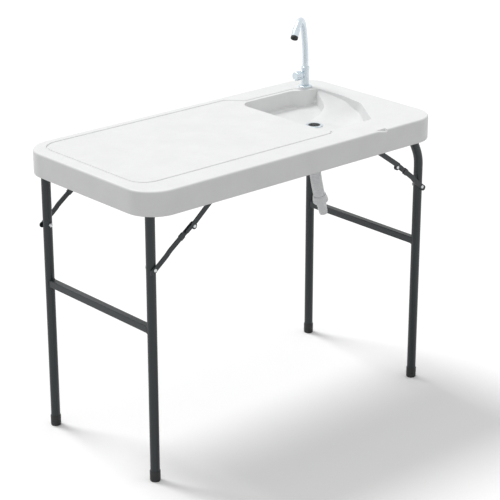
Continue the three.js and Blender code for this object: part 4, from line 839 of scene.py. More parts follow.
# ---- The moulded top ----
@dataclass
class Worktop:
    """The moulded top: skirt, dimpled underside, groove, basin, trough and ramp in one."""

    half_x: float = 575.0
    half_y: float = 295.0
    corner: float = 90.0
    edge: float = 6.0
    cell: tuple[float, float] = (54.0, 40.5)
    rim_points: int = 480
    rings: int = 120
    hole_r: float = 16.0
    rim_insets: tuple = (-2.0, 0.0, 0.4, 0.8, 1.2, 1.6, 1.96, 2.6, 3.4, 4.6, 6.0, 7.8, 10.0)
    sink_corners: tuple = ((189, -190, 20), (383, -190, 22), (483, -44, 90), (501, 60, 90),
                           (501, 166, 11), (452, 176, 25), (414, 203, 20), (189, 203, 40))
    step_stops: tuple = (299.0, 304.0, 309.0, 317.0, 325.0, 333.0, 339.0, 341.8, 343.4, 348.0)
    step_span: tuple[float, float] = (304.0, 341.8)
    step_drop: float = 7.0
    sink_lean: float = 0.073
    trough_r: float = 24.0
    ledge_depth: float = 48.0
    rim_r: float = 2.0
    wall_from: float = 1.96
    rib_pitch: float = 64.0
    ribs: tuple[int, int] = (15, 7)

    def build(self) -> None:
        """Builds the top as one closed piece."""
        form = Form()
        under_deck = self.dimples(form, 12, 10, -167.5, 0.0, DECK_Z)
        under_basin = [*self.dimples(form, 5, 4, 331.0, -98.0, BULGE_Z),
                       *self.dimples(form, 5, 3, 331.0, 121.0, BULGE_Z)]
        groove = self.groove(form)
        top, rim = self.outside(form)
        underside = self.inside(form, rim)
        shank = form.loft([disc(Vector((FAUCET.x, FAUCET.y, z)), 10.6) for z in (TOP_Z, DECK_Z)],
                          False, False)
        upper, lower = self.bulge(form)
        mouth, drain = self.sink(form)
        form.fill([top, mouth, groove, shank[0]])
        form.fill([underside, upper, shank[1], *under_deck])
        form.fill([lower, drain, *under_basin])
        form.piece("worktop", "table", Finish.TOP, "tabletop", sharp_deg=50.0)

    def shell(self, inset: float, z: float, step: float = 0.0) -> list[Vector]:
        """Draws the top's outline.

        Args:
            inset: How far inside the widest outline it is.
            z: Its height.
            step: The share of the front edge's step by which it is lowered there.

        Returns:
            The outline's points, anticlockwise.
        """
        points = rounded_box(inset - self.half_x, self.half_x - inset, inset - self.half_y,
                             self.half_y - inset, self.corner - inset, z, 12, self.step_stops)
        start, end = self.step_span
        for p in points[-len(self.step_stops):]:
            if start < p.x <= end:
                p.z -= step * self.step_drop * (p.x - start) / (end - start)
        return points

    def outside(self, form: Form) -> tuple[Ring, Ring]:
        """Builds the outer face from the top surface down.

        Args:
            form: The mesh.

        Returns:
            Its first and its last ring.
        """
        rings = [self.shell(16.0, TOP_Z), self.shell(12.8, TOP_Z), self.shell(11.6, TOP_Z, 1.0),
                 self.shell(8.0, TOP_Z, 1.0)]
        for angle in (math.pi / 2 * k / 6 for k in range(7)):
            rings.append(self.shell(self.edge * (1 - math.sin(angle)),
                                    TOP_Z - self.edge * (1 - math.cos(angle)), 1.0))
        rings += [self.shell(0.0, TOP_Z - 12.0, 0.6), self.shell(0.0, TOP_Z - 26.0)]
        rings += [self.shell(inset, SKIRT_Z + up) for inset, up in
                  ((0.0, 3.0), (0.15, 1.2), (0.6, 0.4), (1.6, 0.0), (3.0, 0.0))]
        return form.loft(rings, False, False)

    def wall(self, z: float, rise: float, extra: float) -> list[Vector]:
        """Returns the skirt's inner outline at a height.

        Args:
            z: The height.
            rise: How far the ribs stand out, as a share of their reach.
            extra: A further inset all round.

        Returns:
            The outline's points, anticlockwise.
        """
        # The skirt leans in as it rises, the ribs more than the wall behind them
        up = (z - SKIRT_Z) / (DECK_Z - SKIRT_Z)
        backs = (9.0 + 2.0 * up + extra, 12.0 + up + extra)
        tips = (14.5 + 4.5 * up + extra, 24.0 + 2.0 * up + extra)
        section = ((-11, 0), (-9, 0.1), (-7, 0.85), (-5.5, 1),
                   (5.5, 1), (7, 0.85), (9, 0.1), (11, 0))
        points = []
        for k in range(4):
            odd = k % 2
            long, deep = ((self.half_x, self.half_y), (self.half_y, self.half_x))[odd]
            back, tip = backs[odd], backs[odd] + rise * (tips[odd] - backs[odd])
            count = self.ribs[odd]
            middles = [(i - (count - 1) / 2) * self.rib_pitch for i in range(count)]
            local = [(middle + u, back + share * (tip - back) - deep)
                     for middle in middles for u, share in section]
            for i in range(13):
                angle = math.pi / 2 * (i / 12 - 1)
                local.append((long - self.corner + (self.corner - backs[1 - odd]) * math.cos(angle),
                              self.corner - deep + (self.corner - back) * math.sin(angle)))
            turn = Matrix.Rotation(math.pi / 2 * k, 3, "Z")
            points += [turn @ Vector((x, y, 0)) + Vector((0, 0, z)) for x, y in local]
        return points

    def inside(self, form: Form, rim: Ring) -> Ring:
        """Builds the skirt's inner face up to the underside.

        Args:
            form: The mesh.
            rim: The outer face's last ring, to which the skirt's foot is joined.

        Returns:
            The inner face's last ring.
        """
        foot = [self.wall(SKIRT_Z + up, rise, extra) for up, rise, extra in
                ((0.0, 0.0, -1.2), (0.4, 0.0, -0.4), (1.4, 0.0, 0.0), (5.0, 0.0, 0.0),
                 (8.5, 0.9, 0.0), (11.0, 1.0, 0.0))]
        head = [self.wall(DECK_Z - down, 1.0, extra) for down, extra in
                ((2.0, 0.0), (0.6, 0.5), (0.0, 1.8), (0.0, 3.0))]
        low = form.loft([*foot, *head], False, False)
        form.fill([rim, low[0]])
        return low[1]

    def dimples(self, form: Form, columns: int, rows: int, x: float, y: float,
                z: float) -> list[Ring]:
        """Builds a field of dots and dashes that take turns, pressed up into a face.

        Args:
            form: The mesh.
            columns: Dimples along X.
            rows: Dimples along Y.
            x: The field's middle in X.
            y: The field's middle in Y.
            z: The height of the face.

        Returns:
            The ring round each dimple, for the face's fill.
        """
        rings = []
        for i in range(columns):
            for j in range(rows):
                half_x, half_y = (6.5, 6.5) if (i + j) % 2 == 0 else (13.5, 2.5)
                cx = x + (i - (columns - 1) / 2) * self.cell[0]
                cy = y + (j - (rows - 1) / 2) * self.cell[1]
                loops = []
                for grow, up in ((1.7, 0.0), (0.4, 0.0), (-0.2, 0.5), (-0.9, 3.2), (-1.7, 4.0)):
                    wide, deep = half_x + grow, half_y + grow
                    loops.append(rounded_box(cx - wide, cx + wide, cy - deep, cy + deep,
                                             min(deep, 3.5 + grow) - 0.05, z + up, 3))
                rings.append(form.loft(loops, False, True)[0])
        return rings

    def bulge(self, form: Form) -> tuple[Ring, Ring]:
        """Builds the basin's outside under the deck.

        Args:
            form: The mesh.

        Returns:
            Its upper and its lower ring.
        """
        steps = ((-2.0, DECK_Z), (0.0, DECK_Z - 0.6), (1.2, DECK_Z - 3.0), (9.0, BULGE_Z + 9.0),
                 (11.0, BULGE_Z + 3.0), (14.0, BULGE_Z + 0.8), (18.0, BULGE_Z), (20.0, BULGE_Z))
        return form.loft([rounded_box(180.0 + o, 482.0 - o, o - 204.0, 208.0 - o, 60.0 - o, z)
                          for o, z in steps], False, False)

    def sink_depth(self, x: np.ndarray, y: np.ndarray, inset: np.ndarray) -> np.ndarray:
        """Returns the sink's depth.

        Args:
            x: Places along X.
            y: Places along Y.
            inset: Distances from the rim.

        Returns:
            The depths below the top surface.
        """
        # The ramp: gentle from the right, steep where it drops to the floor
        gentle = 17.0 + 0.252 * (500.0 - x) - self.sink_lean * y
        steep = SINK_DEPTH - 0.42 * (x - 376.0) - self.sink_lean * (y - DRAIN.y)
        ramp = soft_least(-soft_least(-gentle, -steep, 5.0), SINK_DEPTH, 3.0)
        ramp = ramp + 9.0 * smooth_step(-y, -45.0, 35.0) * smooth_step(x, 440.0, 500.0)
        # The trough: how far inside its two walls a place is
        beside = self.trough_r - (y - 66.0)
        behind = self.trough_r - ((x - 434.0) * -101.0 + (y - 65.0) * 56.0) / 115.5
        within = self.trough_r - np.hypot(np.maximum(beside, 0), np.maximum(behind, 0))
        within = within - np.minimum(np.maximum(beside, behind), 0)
        base = SINK_DEPTH - 0.045 * np.maximum(y - 40.0, 0.0) - 0.16 * np.maximum(x - 424.0, 0.0)
        floor = ramp + (np.maximum(base, ramp) - ramp) * np.clip((within + 0.5) / 5.0, 0.0, 1.0)
        floor = np.minimum(floor, base)
        # The ledge along the back, and the wall down from the rounded rim
        ledge = smooth_step(np.minimum(np.minimum(y - 178.0, 415.0 - x), x - 207.0), -1.5, 1.5)
        floor = floor + (np.minimum(floor, self.ledge_depth) - floor) * ledge
        rounding = self.rim_r - np.sqrt(np.maximum(self.rim_r ** 2 - inset ** 2, 0.0))
        wall = np.where(inset < self.wall_from, rounding, 1.6 + 11.0 * (inset - self.wall_from))
        foot = np.minimum(np.minimum(7.0, 0.8 * inset + 0.01), 0.2 * floor + 0.6)
        return np.clip(soft_least(wall, floor, foot), 0.0, SINK_DEPTH)

    def sink(self, form: Form) -> tuple[Ring, Ring]:
        """Builds the sink from its rim to the foot of the drain hole.

        Args:
            form: The mesh.

        Returns:
            The ring at its rim and the ring at the hole's foot.
        """
        corners = rounded_polygon(self.sink_corners, 14)
        rim = np.array([p.to_2d()[:] for p in resample(corners, self.rim_points)])
        ahead = np.roll(rim, -1, 0) - np.roll(rim, 1, 0)
        inward = np.stack([-ahead[:, 1], ahead[:, 0]], 1) / np.linalg.norm(ahead, axis=1)[:, None]
        plan = [rim + inward * inset for inset in self.rim_insets]
        centre = np.array(DRAIN[:2])
        spokes = rim - centre
        hole = centre + self.hole_r * spokes / np.linalg.norm(spokes, axis=1)[:, None]
        last = plan[-1]
        for k in range(1, self.rings + 1):
            share = (k / self.rings) ** 1.25
            plan.append(last * (1 - share) + hole * share)
        rings = []
        for i, flat in enumerate(plan):
            if i > 1:
                inset = np.linalg.norm(flat[:, None, :] - rim[None, :, :], axis=2).min(axis=1)
                depth = self.sink_depth(flat[:, 0], flat[:, 1], inset)
            else:
                depth = np.zeros(len(flat))
            if i == len(plan) - 1:
                depth[:] = SINK_DEPTH
            rings.append([Vector((p[0], p[1], TOP_Z - d)) for p, d in zip(flat, depth)])
        rings.append([Vector((p[0], p[1], BULGE_Z)) for p in hole])
        return form.loft(rings, False, False)

    def groove(self, form: Form) -> Ring:
        """Builds the juice groove.

        Args:
            form: The mesh.

        Returns:
            The ring round it.
        """
        spout = ((418, 217), (430, 215.6), (441, 211.5), (451, 205), (459, 198))
        plan = [*arc(182, -188, 22, -25, -90), *arc(-472, -152, 58, -90, -180),
                *arc(-472, 208, 58, 180, 90), *arc(172, 241.5, 24.5, 90, 40),
                *arc(238, 241.5, 24.5, 220, 270), *(Vector((x, y, 0)) for x, y in spout)]
        section = ((4.6, 0.0), (3.4, 0.0), (3.1, -0.3), (2.7, -1.5), (2.0, -3.3), (0.8, -4.0))
        rings = [[p + Vector((0, 0, TOP_Z + down)) for p in strip(plan, half)]
                 for half, down in section]
        upper, lower = form.loft(rings, False, False)
        form.fill([lower])
        return upper


def arc(x: float, y: float, radius: float, start: float, end: float,
        steps: int = 9) -> list[Vector]:
    """Returns points of an arc between two angles in degrees."""
    return [Vector((x + radius * math.cos(a), y + radius * math.sin(a), 0)) for a in
            (math.radians(start + (end - start) * i / steps) for i in range(steps + 1))]


def soft_least(a: Union[np.ndarray, float], b: Union[np.ndarray, float],
               width: Union[np.ndarray, float]) -> np.ndarray:
    """Returns the lesser of two values, rounded over where they come close."""
    share = np.maximum(width - np.abs(np.subtract(a, b)), 0.0) / width
    return np.minimum(a, b) - share ** 2 * width / 4


def smooth_step(value: np.ndarray, low: float, high: float) -> np.ndarray:
    """Returns 0 below low and 1 above high, with an eased change between."""
    t = np.clip((value - low) / (high - low), 0.0, 1.0)
    return t * t * (3 - 2 * t)


# ---- Leg frames and braces ----
@dataclass
class LegFrame:
    """One U-shaped frame of two round legs with a square crossbar, and its black feet."""

    end: End
    sides: int = 40
    crossbar_z: float = 470.5
    crossbar_half: float = 11.0
    crossbar_reach: float = 236.0
    tube_r: float = 12.5

    def build(self) -> None:
        """Builds the frame's pieces."""
        for side in Side:
            self.leg(side)
            self.foot(side)
        self.crossbar()
        if self.end is End.LEFT:
            self.top_tube()

    def part(self, form: Form, name: str, node: str, finish: Finish = Finish.STEEL) -> None:
        """Ends a mesh as a piece that turns with the frame."""
        form.piece(name, f"{self.end.value.name}_frame", finish, node)

    def leg(self, side: Side) -> None:
        """Builds one leg, joggled inwards under the hinge at the right end.

        Args:
            side: The long side that it stands at.
        """
        e, y = self.end.value, side.value * LEG_Y
        path = [Vector((e.leg_x, y, z)) for z in (6.3, 40.0, 640.0, 715.0)]
        if e.joggle:
            bend = ((e.leg_x, 722.0), (e.leg_x, 775.0), (e.hinge_x, 792.7), (e.hinge_x, 828.0))
            path += interpolate_bezier(*(Vector((x, y, z)) for x, z in bend), 24)
        path += [Vector((e.hinge_x, y, z)) for z in (836.0, 846.0)]
        tube = swept(path, circle(LEG_R, self.sides)).bevel(1.2, 3, 60.0)
        self.part(tube, f"leg_tube_{side.tag(self.end)}", f"{e.name}_leg_{side.word}")

    def foot(self, side: Side) -> None:
        """Builds one moulded foot cap with two grip rings.

        Args:
            side: The long side that it stands at.
        """
        profile = [(0, 0), (12.6, 0), (14.2, 0.4), (15.2, 1.4), (15.5, 3.0), (15.7, 6.0)]
        for z in (11.0, 17.5):
            profile += [(15.7, z), (15.1, z + 0.6), (15.1, z + 2.2), (15.7, z + 2.8)]
        profile += [(15.7, 31.6), (15.4, 32.6), (14.9, 33.0), (14.3, 33.0), (14.3, 6.0), (0, 6.0)]
        place = Matrix.Translation((self.end.value.leg_x, side.value * LEG_Y, 0))
        tag = side.tag(self.end)
        cap = turned(profile, self.sides).at(place)
        self.part(cap, f"foot_cap_{tag}", f"foot_{tag}", Finish.CAP)

    def weld(self, bar: Form, seam: Sequence[Vector], radius: float) -> None:
        """Adds a weld bead at each end of a bar, on the round faces of the legs.

        Args:
            bar: The bar between the legs.
            seam: The closed line round its section.
            radius: The bead's radius.
        """
        def inwards(x: float) -> float:
            """Returns how far a leg's face stands in from its middle line at a place along X."""
            return math.sqrt((LEG_R + 0.2) ** 2 - (x - self.end.value.leg_x) ** 2)
        for side in Side:
            path = [Vector((p.x, side.value * (LEG_Y - inwards(p.x)), p.z)) for p in seam]
            bar.join(bead(path, Y_AXIS, radius))

    def crossbar(self) -> None:
        """Builds the square crossbar, welded to the legs."""
        half, name = self.crossbar_half, self.end.value.name
        place = Matrix.Translation((self.end.value.leg_x, 0, self.crossbar_z))
        place @= Matrix.Rotation(-math.pi / 2, 4, "X")
        bar = Form()
        bar.loft([rounded_box(-half, half, -half, half, 3.0, y, 5)
                  for y in (-self.crossbar_reach, self.crossbar_reach)])
        bar.at(place)
        out = half + 0.5
        seam = resample(rounded_box(-out, out, -out, out, 3.5, 0, 6), 72)
        self.weld(bar, [place @ p for p in seam], 1.5)
        self.part(bar, f"crossbar_{name}_welded", f"{name}_crossbar")

    def top_tube(self) -> None:
        """Builds the left frame's top tube, which is its hinge, welded to the legs."""
        x = self.end.value.leg_x
        tube = swept([Vector((x, y, HINGE_Z)) for y in (-237.0, -200.0, 200.0, 237.0)],
                     circle(self.tube_r, self.sides))
        seam = [Vector((x + p.x, 0, HINGE_Z + p.y)) for p in circle(self.tube_r + 0.4, 64)]
        self.weld(tube, seam, 1.3)
        self.part(tube, "top_tube_left_welded", "left_top_tube")


@dataclass
class Brace:
    """The folding brace of one corner: two flat bars, a lock sleeve, a bolt and two rivets."""

    end: End
    side: Side
    foot_z: float = 655.0
    half: float = 8.0
    eye: float = 9.0
    lift: float = 3.0
    tab: float = 9.0
    thick: float = 3.2
    offset: float = 7.0
    tail: float = 27.0
    tail_half: float = 6.0
    sleeve_back: float = 47.5
    spacer_r: float = 7.0
    kink: tuple = ((0.3, 2.2), (0.33, 2.7), (0.39, 4.6), (0.42, 5.0))

    def __post_init__(self) -> None:
        """Works out the pivots and the lower bar's direction."""
        e = self.end.value
        self.tag = self.side.tag(self.end)
        self.foot, self.knee, self.head = (Vector((*spot, 0)) for spot in
                                           ((e.leg_x, self.foot_z), e.knee, e.head))
        self.reach = (self.knee - self.foot).length
        self.along = (self.knee - self.foot).normalized()
        self.above = Vector((-self.along.y, self.along.x, 0)) * e.inward

    def build(self) -> None:
        """Builds the brace's pieces."""
        self.lower_bar()
        self.upper_bar()
        self.sleeve()
        self.fasteners()

    def on_bar(self, s: float, n: float) -> Vector:
        """Returns a point by its distance along the lower bar and above its pivots."""
        return self.foot + self.along * s + self.above * n

    def bar(self, which: str, y: float, shapes: Sequence[list[Vector]],
            pins: Sequence[Vector]) -> None:
        """Builds one flat bar.

        Args:
            which: "lower" or "upper".
            y: How far out its inner face lies.
            shapes: The flat outlines that make it up.
            pins: The places of its pin holes.
        """
        holes = [disc(pin, PIN_HOLE_R, 20) for pin in pins]
        bar = plate(merged(*shapes), y, y + self.thick, 0.5, holes).at(self.side.upright())
        bar.piece(f"{which}_bar_{self.tag}", f"{which}_{self.tag}", Finish.STEEL,
                  f"brace_{which}_{self.tag}")

    def lower_bar(self) -> None:
        """Builds the lower bar, kinked so as to pass over its eye, and the rivet's tail on it."""
        end = self.on_bar(-self.tab, 0.0)
        line = [end, self.foot, *(self.on_bar(self.reach * share, n) for share, n in self.kink),
                self.on_bar(self.reach, self.offset)]
        eyes = [disc(spot, self.eye) for spot in (self.foot, end, self.knee)]
        self.bar("lower", LOWER_BAR_Y, [strip(line, self.half), *eyes], [self.foot])
        tail = turned([(0, 0), (5.4, 0), (5.2, 0.6), (4.2, 1.1), (2.4, 1.3), (0, 1.3)], 28)
        tail.at(self.side.upright() @ Matrix.Translation((*self.knee.xy, LOWER_BAR_Y)) @
                Matrix.Rotation(math.pi, 4, "X"))
        tail.piece(f"knee_rivet_tail_{self.tag}", f"lower_{self.tag}", Finish.ZINC)

    def upper_bar(self) -> None:
        """Builds the upper bar with the tail that runs into the lock sleeve."""
        top = self.on_bar(self.reach, self.offset)
        line = [top, self.head + self.above * self.lift]
        tail = [self.on_bar(self.reach - self.tail, self.offset), top]
        eyes = [disc(spot, self.eye) for spot in (self.knee, self.head)]
        shapes = [strip(line, self.half), strip(tail, self.tail_half), *eyes]
        self.bar("upper", UPPER_BAR_Y, shapes, [self.knee, self.head])

    def sleeve(self) -> None:
        """Builds the flat sleeve that slides over the knee to lock it, flared at each end."""
        at = self.reach - self.sleeve_back
        middle = self.on_bar(at, self.offset * (0.7 + 0.3 * (at / self.reach - 0.4) / 0.6))
        steps = ((8.9, 0.3, -7.5), (9.6, 1.1, -7.5), (10.1, 1.5, -6.9), (9.8, 1.3, -5.2),
                 (9.8, 1.3, 5.2), (10.1, 1.5, 6.9), (9.6, 1.1, 7.5), (8.9, 0.3, 7.5))
        rings = []
        for half, gap, s in steps:
            section = rounded_box(-half, half, LOWER_BAR_Y - gap, LOWER_BAR_Y + self.thick + gap,
                                  min(1.6, gap + 0.4), 0, 4)
            centre = middle + self.along * s
            rings.append([Vector((centre.x + self.above.x * p.x, self.side.value * p.y,
                                  centre.y + self.above.y * p.x)) for p in section])
        form = Form()
        form.loft(rings, tube=True)
        form.piece(f"sliding_sleeve_{self.tag}", f"sleeve_{self.tag}", Finish.STEEL,
                   f"lock_sleeve_{self.tag}")

    def pin(self, tip: Profile, face: float, seat: float, head: Profile) -> Form:
        """Turns a pin with a head and with a spacer between the two pieces that it joins.

        Args:
            tip: Its points from the inner end to the foot of the spacer.
            face: The face that the spacer stops short of.
            seat: Where the head starts.
            head: The head's points, with heights over its seat.

        Returns:
            The mesh, along Z.
        """
        stop = face - SEAT_GAP
        spacer = [(self.spacer_r, tip[-1][1]), (self.spacer_r, stop), (PIN_R, stop), (PIN_R, seat)]
        return turned([*tip, *spacer, *((radius, seat + up) for radius, up in head)], 32)

    def fasteners(self) -> None:
        """Builds the knee rivet, the pivot on the rail and the bolt through the leg."""
        on_lower, on_upper = (y + self.thick + SEAT_GAP for y in (LOWER_BAR_Y, UPPER_BAR_Y))
        rivet = self.pin([(0, on_lower)], UPPER_BAR_Y, on_upper,
                         [(5.2, 0), (5.1, 0.6), (4.5, 1.4), (3.0, 2.0), (0, 2.2)])
        rivet.at(self.side.upright(*self.knee.xy))
        rivet.piece(f"domed_rivet_{self.tag}", f"upper_{self.tag}", Finish.ZINC,
                    f"knee_rivet_{self.tag}")
        tip = [(0, UPPER_BAR_Y), (2.6, UPPER_BAR_Y), (PIN_R, UPPER_BAR_Y + 0.5), (PIN_R, on_upper)]
        pivot = self.pin(tip, WEB_Y, WEB_Y + SHEET + SEAT_GAP,
                         [(6.5, 0), (6.3, 0.6), (5.2, 1.0), (0, 1.1)])
        pivot.at(self.side.upright(*self.head.xy))
        pivot.piece(f"web_pivot_{self.tag}", "table", Finish.ZINC, f"rail_pivot_{self.tag}")
        nut, leg = LEG_Y - LEG_R - SEAT_GAP, LEG_Y + LEG_R + SEAT_GAP
        tip = [(0, nut - 7.1), (3.2, nut - 7.1), (PIN_R, nut - 6.3), (PIN_R, leg)]
        shank = self.pin(tip, LOWER_BAR_Y, on_lower,
                         [(5.2, 0), (5.2, 1.1), (4.8, 2.1), (3.6, 2.8), (1.9, 3.0), (0, 3.0)])
        shank.join(plate(hexagon(NUT_FLATS), nut - 5.0, nut, 0.5))
        shank.at(self.side.upright(*self.foot.xy))
        shank.piece(f"leg_bolt_{self.tag}", f"{self.end.value.name}_frame", Finish.ZINC,
                    f"brace_bolt_{self.tag}")


# ---- What is screwed under the deck ----
@dataclass
class Rail:
    """One steel angle under a long side, with its screws."""

    side: Side
    start: float = -500.0
    end: float = 480.0
    flange: float = 19.5
    screws: int = 6
    screw_in: float = 40.0

    def build(self) -> None:
        """Builds the rail and its screws."""
        word, under = self.side.word, SEAT_Z - SHEET
        holes = [disc(Vector((*end.value.head, 0)), PIN_HOLE_R, 20) for end in End]
        web = plate(rectangle(self.start, self.end, SKIRT_Z, SEAT_Z), WEB_Y, WEB_Y + SHEET, 0.6,
                    holes).at(self.side.upright())
        low, high = sorted(self.side.value * (WEB_Y - inset) for inset in (0.02, self.flange))
        web.join(plate(rectangle(self.start, self.end, low, high), under, SEAT_Z, 0.5))
        web.piece(f"angle_rail_{word}", "table", Finish.STEEL, f"rail_{word}")
        span = self.end - self.start - 2 * self.screw_in
        places = [(self.start + self.screw_in + span * i / (self.screws - 1),
                   self.side.value * (WEB_Y - self.flange / 2), under - 0.05)
                  for i in range(self.screws)]
        screw_heads(places, 4.5, 2.4).piece(f"rail_screws_{word}", "table", Finish.ZINC)


@dataclass
class Hinge:
    """What each leg frame turns in: sheet saddles at the left, bolted clevises at the right."""

    side: Side
    strap_y: tuple[float, float] = (196.0, 214.0)
    strap_half: float = 21.0
    strap_r: float = 14.05
    bend_r: float = 2.85
    screw_x: float = 19.0
    ears_y: tuple[float, float] = (225.2, 256.3)
    ear_half: float = 16.0
    ear_low: float = 825.0
    ear_r: float = 10.0

    def build(self) -> None:
        """Builds one side's saddle, clevis and hinge bolt."""
        self.saddle()
        self.clevis()
        self.bolt()

    def saddle(self) -> None:
        """Builds the strap round the left top tube, with a screw in each flange."""
        x, middle, word = End.LEFT.value.hinge_x, SEAT_Z - SHEET / 2, self.side.word
        line = [Vector((self.strap_half, middle, 0)),
                *arc(self.strap_r + self.bend_r, middle - self.bend_r, self.bend_r, 90, 180, 5),
                *arc(0, HINGE_Z, self.strap_r, 0, -90, 9)]
        line += [Vector((-p.x, p.y, 0)) for p in reversed(line[:-1])]
        outline = [p + Vector((x, 0, 0)) for p in strip(line, SHEET / 2, 0)]
        strap = plate(outline, *self.strap_y, 0.4).at(self.side.upright())
        strap.piece(f"tube_saddle_{word}", "table", Finish.STEEL, f"left_saddle_{word}")
        places = [(x + dx, self.side.value * sum(self.strap_y) / 2, SEAT_Z - SHEET - 0.05)
                  for dx in (-self.screw_x, self.screw_x)]
        screw_heads(places, 2.9, 1.6).piece(f"saddle_screws_{word}", "table", Finish.ZINC)

    def clevis(self) -> None:
        """Builds the bracket that holds a right leg between two round-ended ears."""
        x, half, radius = End.RIGHT.value.hinge_x, self.ear_half, self.ear_r
        ear = [Vector((x + half, SEAT_Z, 0)), Vector((x - half, SEAT_Z, 0)),
               *arc(x - half + radius, self.ear_low + radius, radius, 180, 270),
               *arc(x + half - radius, self.ear_low + radius, radius, 270, 360)]
        hole = disc(Vector((x, HINGE_Z, 0)), PIN_HOLE_R, 20)
        form = Form()
        for y in self.ears_y:
            form.join(plate(ear, y, y + SHEET, 0.4, [hole]).at(self.side.upright()))
        roof = plate(rectangle(x - half, x + half, SEAT_Z - SHEET, SEAT_Z),
                     self.ears_y[0] + SHEET + 0.02, self.ears_y[1] - 0.02, 0.0)
        form.join(roof.at(self.side.upright()))
        form.piece(f"clevis_{self.side.word}", "table", Finish.STEEL,
                   f"right_bracket_{self.side.word}")

    def bolt(self) -> None:
        """Builds the hinge bolt of a right leg with its nut."""
        nut, seat = self.ears_y[0] - 0.4, self.ears_y[1] + SHEET + SEAT_GAP
        head = ((6.5, 0), (6.5, 1.1), (6.0, 2.1), (4.6, 2.8), (2.4, 3.0), (0, 3.0))
        shank = turned([(0, nut - 7.0), (3.2, nut - 7.0), (PIN_R, nut - 6.2), (PIN_R, seat),
                        *((radius, seat + up) for radius, up in head)], 32)
        shank.join(plate(hexagon(NUT_FLATS), nut - 4.9, nut, 0.5))
        shank.at(self.side.upright(End.RIGHT.value.hinge_x, HINGE_Z))
        shank.piece(f"clevis_bolt_{self.side.word}", "table", Finish.ZINC,
                    f"hinge_bolt_{self.side.word}")


